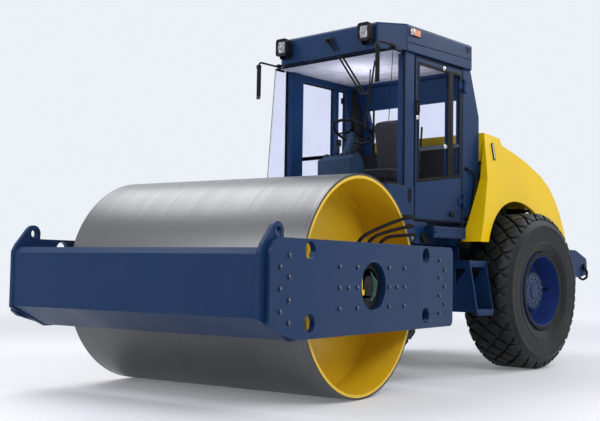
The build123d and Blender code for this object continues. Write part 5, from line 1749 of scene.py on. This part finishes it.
@dataclass
class CabInterior:
    """Driver's seat, steering wheel, dash and levers."""

    floor: float = 1.4  # height of the cab's floor
    seat_place: Point = (-0.512, 0, 1.8)  # middle of the seat's cushion
    back_place: Point = (-0.758, 0, 2.128)  # middle of the seat's back
    recline: float = -78.9  # lean of the back, in degrees
    wheel_place: Point = (-0.08, 0, 2.18)  # middle of the steering wheel
    wheel_lean: float = 28  # lean of the steering wheel, in degrees
    wheel_radius: float = 0.19  # radius of the steering wheel's rim
    # places of the dials across the dash, each with its needle's turn
    dials: tuple = ((-0.105, 0.6), (0.0, -0.5), (0.105, 0.2))

    def make(self) -> None:
        """Builds everything inside the cab."""
        paint_nodes(BLACK_PLASTIC, "seat_base", "lever_stand")
        paint_nodes(SLATE_PLASTIC, "console")
        self._linings()
        self._pad(Cushion(0.445, 0.49, 0.105, 0.02, (-0.45, 0.05, 0.55)), "seat_cushion",
                  TRACTOR @ at(*self.seat_place))
        self._pad(Cushion(0.5, 0.48, 0.088, 0.016, (-0.5, -0.1, 0.3, 0.66)), "seat_back",
                  TRACTOR @ at(*self.back_place) @ Matrix.Rotation(radians(self.recline), 4, "Y")
                  @ Matrix.Rotation(pi, 4, "Z") @ Matrix.Diagonal((-1, 1, 1, 1)))
        self._seat()
        self._wheel()
        self._dials()
        self._levers()
        self._floor()

    def _linings(self) -> None:
        """Builds near-black panels on the rear wall and the corners beside it: painted shade for the dark
        rear of the cab.
        """
        # painted shade: dark sheets where the rear of the cab lies in shadow
        panels = Piece("rear_linings", PAINTED_SHADE)
        panels.add(block((-1.062, -0.64, self.floor), (-1.054, 0.64, 2.11), 0.003))
        for side in Side:
            panels.add(block((-1.054, side * 0.64, self.floor), (-0.85, side * 0.648, 2.78), 0.003))
        panels.make()

    def _pad(self, cushion: Cushion, name: str, place: Matrix) -> None:
        """Builds one of the seat's cushions with its piping.

        Args:
            cushion: Its shape.
            name: Name of its piece.
            place: Its place.
        """
        made = Piece(name, SEAT_CLOTH, place).add(cushion.build()).make(
            "tractor", "seat", slot="seat_fabric", sharp=180)
        Piece(f"{name}_piping", SEAL, place).add(cushion.piping(0.55)).make(sharp=180)

    def _seat(self) -> None:
        """Builds the seat's shell and bellows."""
        shell = Piece("seat_shell", BLACK_PLASTIC)
        shell.add(block((-0.735, -0.215, 1.741), (-0.3, 0.215, 1.75), 0.004))
        for side in Side:
            shell.add(tube(((-0.74, side * 0.238, 1.775), (-0.795, side * 0.238, 1.9),
                            (-0.85, side * 0.225, 2.3)), 0.01, 0.06))
        shell.make("tractor", "seat")
        bellows = Piece("seat_bellows", SEAL)
        for step in range(7):
            low = self.floor + 0.035 + step * 0.04
            bellows.add(block((-0.738, -0.218, low), (-0.302, 0.218, low + 0.03), 0.012))
        bellows.make()

    def _wheel(self) -> None:
        """Builds the steering wheel."""
        lean, radius = radians(self.wheel_lean), self.wheel_radius
        wheel = Piece("driving_wheel", BLACK_PLASTIC,
                      TRACTOR @ facing(self.wheel_place, (-sin(lean), 0, cos(lean))))
        wheel.add(lathe([(radius + u, v) for u, v in circle(12, 0.0135)], 72, closed=True))
        wheel.add(lathe(((0.046, -0.01), (0.046, 0.004), (0.038, 0.012), (0.014, 0.014), (0, 0.014)), 40))
        spoke = plate([(0.035, -0.016), (0.186, -0.01), (0.186, 0.01), (0.035, 0.016)], 0.008, 0.003)
        wheel.add(spoke, *(at(0, 0, -0.004, turn=step * 2 * pi / 3) for step in range(3)))
        ridge = lathe([(0.0142, -0.003), (0.015, 0.0), (0.0142, 0.003)], 12, closed=True)
        wheel.add(ridge, *(at(0, 0, 0, turn=step * 2 * pi / 24) @ at(radius, 0, 0)
                           @ Matrix.Rotation(pi / 2, 4, "X") for step in range(24)))
        wheel.make("tractor", "steering_wheel", slot="black_plastic")

    def _dials(self) -> None:
        """Builds the dials on the dash."""
        place = TRACTOR @ facing((0.04, 0, 1.9205), (-0.707, 0, 0.707))
        spots = [at(shift, 0, 0) for shift, _ in self.dials]
        Piece("gauge_bezels", CHROME, place).add(
            lathe(((0.036, 0), (0.036, 0.008), (0.031, 0.009), (0.03, 0.003)), 36), *spots).make()
        Piece("gauge_faces", GAUGE_WHITE, place).add(lathe(((0.03, 0.003), (0, 0.003)), 36), *spots).make()
        needle = plate([(-0.0012, -0.004), (0.0012, -0.004), (0.0006, 0.024), (-0.0006, 0.024)], 0.0012)
        Piece("gauge_needles", RED, place).add(
            needle, *(at(shift, 0, 0.0035, turn=turn) for shift, turn in self.dials)).make()

    def _levers(self) -> None:
        """Builds the switches, the column's lever, the boots and the small levers."""
        switches = Piece("dash_switches", BLACK_PLASTIC)
        for step in range(6):
            y = -0.15 + step * 0.06
            switches.add(block((0.1, y - 0.012, 1.948), (0.135, y + 0.012, 1.962), 0.003))
        switches.add(tube(((-0.115, 0.035, 2.1), (-0.15, 0.11, 2.125), (-0.155, 0.15, 2.13)),
                          0.006, 0.03)).make()
        folds = ((0.05, 0), (0.048, 0.012), (0.04, 0.014), (0.042, 0.026), (0.032, 0.03),
                 (0.034, 0.042), (0.024, 0.048), (0.026, 0.058), (0.014, 0.066))
        Piece("lever_boots", SEAL).add(lathe(folds, 28), at(-0.3, -0.36, 1.945)).add(
            lathe(((0.036, 0), (0.034, 0.01), (0.016, 0.014)), 28), at(-0.08, 0, 2.142)).make()
        levers = Piece("small_levers", BOLT_STEEL)
        knobs = Piece("lever_knobs", BLACK_PLASTIC)
        knob = ((0.006, 0), (0.014, 0.008), (0.015, 0.02), (0.01, 0.032), (0, 0.034))
        for x in (-0.5, -0.56):
            levers.add(tube(((x, -0.33, 1.93), (x + 0.01, -0.335, 2.04)), 0.005, sides=8))
            knobs.add(lathe(knob, 20), at(x + 0.01, -0.335, 2.035))
        levers.make()
        knobs.make()

    def _floor(self) -> None:
        """Builds the floor mat and the pedals."""
        mat, top = Piece("floor_mat", SEAL), self.floor + 0.006
        mat.add(block((-0.285, -0.52, self.floor), (0.03, 0.52, top), 0.002))
        mat.add(block((-0.15, -0.005, 0), (0.15, 0.005, 0.003), 0.001, 1),
                *(at(-0.128, -0.5 + step * 0.04, top) for step in range(26)))
        mat.add(block((-0.045, -0.035, 0), (0.045, 0.035, 0.012), 0.005),
                *(at(0.002, y, self.floor + 0.06) @ Matrix.Rotation(radians(35), 4, "Y")
                  for y in (-0.184, 0.184))).make()


@dataclass
class Hood:
    """Handles, latches and grille parts of the engine hood, and the parts beneath it."""

    front: float = -0.34  # front edge of the hood, lengthwise
    foot: float = 1.185  # height of the hood's lower edge
    half_width: float = 0.98  # half width at the front of the lower edge
    taper: float = 0.195 / 2.765  # how much the half width shrinks along the hood, for each metre
    lean: float = 0.169  # how much it shrinks on the way up, for each metre
    slot: Pair = (-1.26, 2.065)  # place of the grip slot, as (along, up)
    latch: Pair = (-2.3, 1.3)  # place of the latch, as (along, up)
    grille: Pair = (-2.705, 1.344)  # lower edge of the grille's trim, as (along, up)
    grille_size: Point = (0.43, 0.045, 0.182)  # the trim's half width, its run back and its rise

    def make(self) -> None:
        """Builds the hood's details."""
        paint_nodes(YELLOW, "hood")
        paint_nodes(BLACK_PAINT, "hood_grille", "radiator")
        for side in Side:
            self._handle(side)
        self._grille()
        self._engine()
        self._intake()
        self._cooling()

    def _on_side(self, spot: Pair, side: Side) -> Matrix:
        """Finds a place on the hood's leaning side, local X along the machine, local Y up.

        Args:
            spot: Place along the machine and height.
            side: Side of the machine.

        Returns:
            The place.
        """
        x, z = spot
        y = self.half_width - self.taper * (self.front - x) - self.lean * (z - self.foot)
        return facing((x, side * y, z), (-self.taper, side, self.lean))

    def _handle(self, side: Side) -> None:
        """Builds the grip slot and the latch on one side.

        Args:
            side: Side of the machine.
        """
        outline, place = rounded_outline(0.034, 0.17, 0.014), self._on_side(self.slot, side)
        Piece(f"hood_slot_{side}", BLACK_PAINT).add(border(outline, 0.0, 0.008, 0.012), place).make("hood")
        Piece(f"hood_slot_grip_{side}", GAUGE_WHITE).add(
            plate(inset(outline, 0.006), 0.011, 0.002), place).make("hood")
        place = self._on_side(self.latch, side)
        Piece(f"hood_latch_{side}", SEAL).add(
            block((-0.016, -0.04, -0.002), (0.016, 0.04, 0.014), 0.005), place).add(
            block((-0.01, -0.055, 0.004), (0.01, -0.02, 0.02), 0.004), place).make("hood")

    def _grille(self) -> None:
        """Builds the mesh and trim of the grille."""
        mesh = Piece("grille_mesh", BLACK_PAINT)
        for step in range(41):
            y = -0.42 + step * 0.021
            mesh.add(tube(((-2.668, y, 1.275), (-2.668, y, 1.345), (-2.625, y, 1.526),
                           (-2.592, y, 1.596)), 0.0018, sides=4))
        mesh.make("hood")
        half, run, rise = self.grille_size
        lean = atan2(run, rise)
        Piece("grille_trim", YELLOW).add(
            border(rectangle(-half, 0.0, half, hypot(run, rise)), 0.01, -0.002, 0.006),
            facing((self.grille[0], 0, self.grille[1]), (-cos(lean), 0, sin(lean)))).make("hood")

    def _engine(self) -> None:
        """Builds the engine's covers, ribs and manifold."""
        paint_nodes(CAST, "engine_block")
        engine = Piece("engine_covers", CAST)
        cap = lathe(((0.018, 0), (0.018, 0.016), (0.01, 0.022), (0, 0.022)), 16)
        for step in range(6):
            x = -1.42 - step * 0.135
            engine.add(block((x, -0.13, 1.748), (x - 0.115, 0.13, 1.8), 0.012))
        engine.add(cap, *(at(-1.477 - step * 0.135, 0, 1.798) for step in range(6)))
        for side in Side:
            for step in range(9):
                x = -1.36 - step * 0.105
                engine.add(block((x, side * 0.318, 1.22), (x - 0.022, side * 0.336, 1.62), 0.005))
        engine.make()
        manifold = Piece("exhaust_manifold", BLACK_PAINT)
        manifold.add(tube(((-1.4, 0.38, 1.66), (-2.05, 0.38, 1.66)), 0.045, sides=20))
        for step in range(6):
            x = -1.46 - step * 0.11
            manifold.add(tube(((x, 0.31, 1.6), (x, 0.38, 1.62), (x, 0.38, 1.66)), 0.024, 0.03))
        manifold.make()

    def _intake(self) -> None:
        """Builds the oil filters and the air cleaner."""
        can = ((0.0, 0), (0.05, 0.004), (0.055, 0.03), (0.055, 0.15), (0.048, 0.17), (0, 0.17))
        Piece("engine_filters", BLACK_PAINT).add(
            lathe(can, 32), *(at(x, -0.385, 1.28) for x in (-1.62, -1.76))).make()
        drum = ((0.0, 0), (0.085, 0.0), (0.095, 0.012), (0.095, 0.4), (0.085, 0.412), (0, 0.412))
        Piece("air_cleaner", BLACK_PAINT).add(
            lathe(drum, 40), facing((-1.55, -0.22, 1.9), (-1, 0, 0))).add(
            tube(((-1.95, -0.22, 1.9), (-2.06, -0.22, 1.88), (-2.08, -0.2, 1.76)), 0.04, 0.06,
                 sides=20)).make()

    def _cooling(self) -> None:
        """Builds the radiator's hoses and fins."""
        Piece("cooling_hoses", HOSE_RUBBER).add(
            hose(((-2.19, 0.22, 1.7), (-2.24, 0.22, 1.7), (-2.3, 0.26, 1.68),
                  (-2.34, 0.28, 1.56), (-2.365, 0.28, 1.54)), 0.028)).add(
            hose(((-2.29, -0.22, 1.3), (-2.32, -0.22, 1.3), (-2.34, -0.25, 1.28),
                  (-2.365, -0.26, 1.27)), 0.028)).make()
        fins = Piece("radiator_fins", BLACK_PAINT)
        for step in range(28):
            z = 1.17 + step * 0.0145
            fins.add(block((-2.5235, -0.415, z), (-2.518, 0.415, z + 0.006)))
        fins.make()


@dataclass
class RearEnd:
    """Tow-lug rims, shackles, bolts and lamp lenses of the rear bumper, and the axle's bolts."""

    bumper_face: float = -2.86  # place of the bumper's rear face, lengthwise
    tow_eye: Point = (-3.075, 0.8, 0.97)  # middle of the left tow lug's eye
    lug_half: float = 0.02  # half thickness of a tow lug
    lamp: Pair = (0.61, 1.08)  # place of the left tail lamp, as (across, up)
    axle_ring: float = 0.115  # radius of the ring of bolts on the axle's end
    axle_face: float = 0.7355  # distance of the axle's end from the middle
    gear_face: float = -1.18  # place of the gear housing's front face, lengthwise
    gear_ring: float = 0.075  # radius of the ring of bolts on the gear housing

    def make(self) -> None:
        """Builds the rear end's details."""
        paint_nodes(NAVY, "rear_bumper", "tractor_frame")
        paint_nodes(YELLOW, "rear_axle")
        paint_nodes(RED, "tail_lamps")
        for side in Side:
            self._tow_lug(side)
            self._tail_lamp(side)
        spots = [(y, z) for y in (-0.42, -0.36, 0.36, 0.42) for z in (0.92, 1.02, 1.12)]
        Piece("bumper_bolts", BOLT_STEEL).add(
            bolt(0.016, 0.012), *(facing((self.bumper_face, y, z), (-1, 0, 0)) for y, z in spots)).make()
        axle = Piece("axle_bolts", BOLT_STEEL)
        for side in Side:
            axle.add(bolt(0.015, 0.012), *(
                facing((AXLE_X + x, side * self.axle_face, WHEEL_RADIUS + z), (0, -side, 0))
                for x, z in circle(12, self.axle_ring, 0.5)))
        axle.make()
        Piece("gear_housing_bolts", BOLT_STEEL).add(bolt(0.011, 0.009), *(
            facing((self.gear_face, y, WHEEL_RADIUS + z), (1, 0, 0))
            for y, z in circle(8, self.gear_ring))).make()

    def _tow_lug(self, side: Side) -> None:
        """Builds a shackle and the rims of the eye it hangs in.

        Args:
            side: Side of the machine.
        """
        x, across, z = self.tow_eye
        shackle = Piece(f"shackle_{side}", BLACK_PAINT)
        shackle.add(tube(((x, side * (across - 0.036), z), (x, side * (across + 0.04), z)), 0.017,
                         sides=16))
        bow = ((0.0, -0.04, 0.005), (-0.025, -0.056, -0.04), (-0.04, -0.045, -0.1),
               (-0.043, 0.0, -0.128), (-0.04, 0.045, -0.1), (-0.025, 0.056, -0.04), (0.0, 0.04, 0.005))
        shackle.add(tube([(x + back, side * (across + out), z + up) for back, out, up in bow],
                         0.0125, 0.03)).make()
        Piece(f"tow_rims_{side}", NAVY).add(
            lathe(((0.049, 0), (0.05, 0.004), (0.066, 0.004), (0.069, 0)), 32),
            *(facing((x, side * (across + out * self.lug_half), z), (0, side * out, 0))
              for out in (1, -1))).make()

    def _tail_lamp(self, side: Side) -> None:
        """Builds the frame and the turn lens of a tail lamp.

        Args:
            side: Side of the machine.
        """
        spot = (self.bumper_face, side * self.lamp[0], self.lamp[1])
        place = at(*spot, Axis.ALONG)
        Piece(f"tail_lamp_frame_{side}", BLACK_PLASTIC).add(
            border(rounded_outline(0.196, 0.096, 0.01), 0.004, 0.004, 0.01),
            rear_sheet(*spot)).add(block((-0.003, -0.046, -0.0285), (0.003, 0.046, -0.004)), place).make()
        Piece(f"tail_turn_lens_{side}", AMBER).add(
            block((side * 0.035, -0.038, -0.03), (side * 0.084, 0.038, -0.0265), 0.002), place).make()


@dataclass
class Studio:
    """Floor, light and camera."""

    reach: float = 30.0  # half the floor's width
    lens: float = 57.24  # the camera's focal length, in millimetres

    def make(self) -> None:
        """Builds the studio."""
        floor = bpy.data.meshes.new("floor")
        floor.from_pydata([(x, y, -0.001) for x, y in rectangle(-self.reach, -self.reach,
                                                                self.reach, self.reach)],
                          [], [(0, 1, 2, 3)])
        floor.materials.append(FLOOR.material())
        self._hang("floor", floor)
        self._world()
        for name, place, energy, size in (("key", (2.5, 8.0, 6.5), 360, 4.0),
                                          ("front", (8.0, -1.5, 4.5), 170, 3.0),
                                          ("back", (-6.0, 3.0, 6.0), 160, 3.0),
                                          ("top", (1.2, -3.4, 6.6), 230, 4.5)):
            data = bpy.data.lights.new(name, "AREA")
            data.energy, data.size = energy, size
            lamp = self._hang(name, data)
            lamp.location = place
            lamp.rotation_euler = (Vector((0, 0, 1)) - Vector(place)).to_track_quat("-Z", "Y").to_euler()
        self._cab_light()
        self._camera()

    @staticmethod
    def _hang(name: str, data: bpy.types.ID) -> bpy.types.Object:
        """Puts an object with the given data into the scene.

        Args:
            name: Its name.
            data: Its mesh, light or camera.

        Returns:
            The object.
        """
        made = bpy.data.objects.new(name, data)
        bpy.context.scene.collection.objects.link(made)
        return made

    def _cab_light(self) -> None:
        """Soft light inside the cab, in place of what its panes hold back."""
        data = bpy.data.lights.new("cab", "POINT")
        data.energy, data.shadow_soft_size = 9, 0.15
        lamp = self._hang("cab", data)
        lamp.location = TRACTOR @ Vector((-0.2, 0.0, 2.4))
        lamp.visible_camera = lamp.visible_glossy = lamp.visible_transmission = False

    def _world(self) -> None:
        """Soft light all round, with a pale backdrop for the camera and for reflections."""
        world = bpy.data.worlds.new("studio")
        bpy.context.scene.world = world
        world.use_nodes = True
        sheet = Sheet(world.node_tree)
        light = world.node_tree.nodes["Background"]
        light.inputs["Color"].default_value = (0.82, 0.87, 0.95, 1.0)
        light.inputs["Strength"].default_value = 0.38
        pale = sheet.add("ShaderNodeBackground", {"Color": (0.84, 0.88, 0.93, 1.0), "Strength": 1.0})
        mixed = sheet.add("ShaderNodeMixShader", {0: sheet.seen(), 1: light.outputs[0], 2: pale.outputs[0]})
        world.node_tree.links.new(mixed.outputs[0], world.node_tree.nodes["World Output"].inputs["Surface"])

    def _camera(self) -> None:
        """Sets the camera in front of the left corner."""
        eye = Vector((6.747 + PIVOT.x, 5.473 + PIVOT.y, 0.914))
        ahead = Vector((-0.74307, -0.66643, 0.06098)).normalized()
        level = ahead.cross(Vector((0, 0, 1))).normalized()
        over = level.cross(ahead).normalized()
        roll = radians(0.91)
        right = level * cos(roll) + over * sin(roll)
        up = over * cos(roll) - level * sin(roll)
        data = bpy.data.cameras.new("camera")
        camera = self._hang("camera", data)
        turn = Matrix((right, up, -ahead)).transposed().to_4x4()
        camera.matrix_world = Matrix.Translation(eye) @ turn
        data.sensor_width, data.lens, data.clip_end = 36.0, self.lens, 200
        bpy.context.scene.camera = camera
        bpy.context.scene.view_settings.view_transform = "Standard"


def main() -> None:
    """Builds every sub-assembly in order and notes the sizes."""
    logging.basicConfig(level=logging.INFO, format="%(name)s: %(message)s")
    assemblies = [DrumDetail(), DrumFrameDetail(), DriveHoses(), SteeringGear(), Deck(), Cab(),
                  CabInterior(), Hood(), RearEnd()]
    for side in Side:
        assemblies += [Wheel(side), Ladder(side)]
    for assembly in assemblies:
        before = len(bpy.data.objects)
        assembly.make()
        LOG.info("%s: %d pieces", type(assembly).__name__, len(bpy.data.objects) - before)
    Studio().make()


if __name__ == "__main__":
    main()
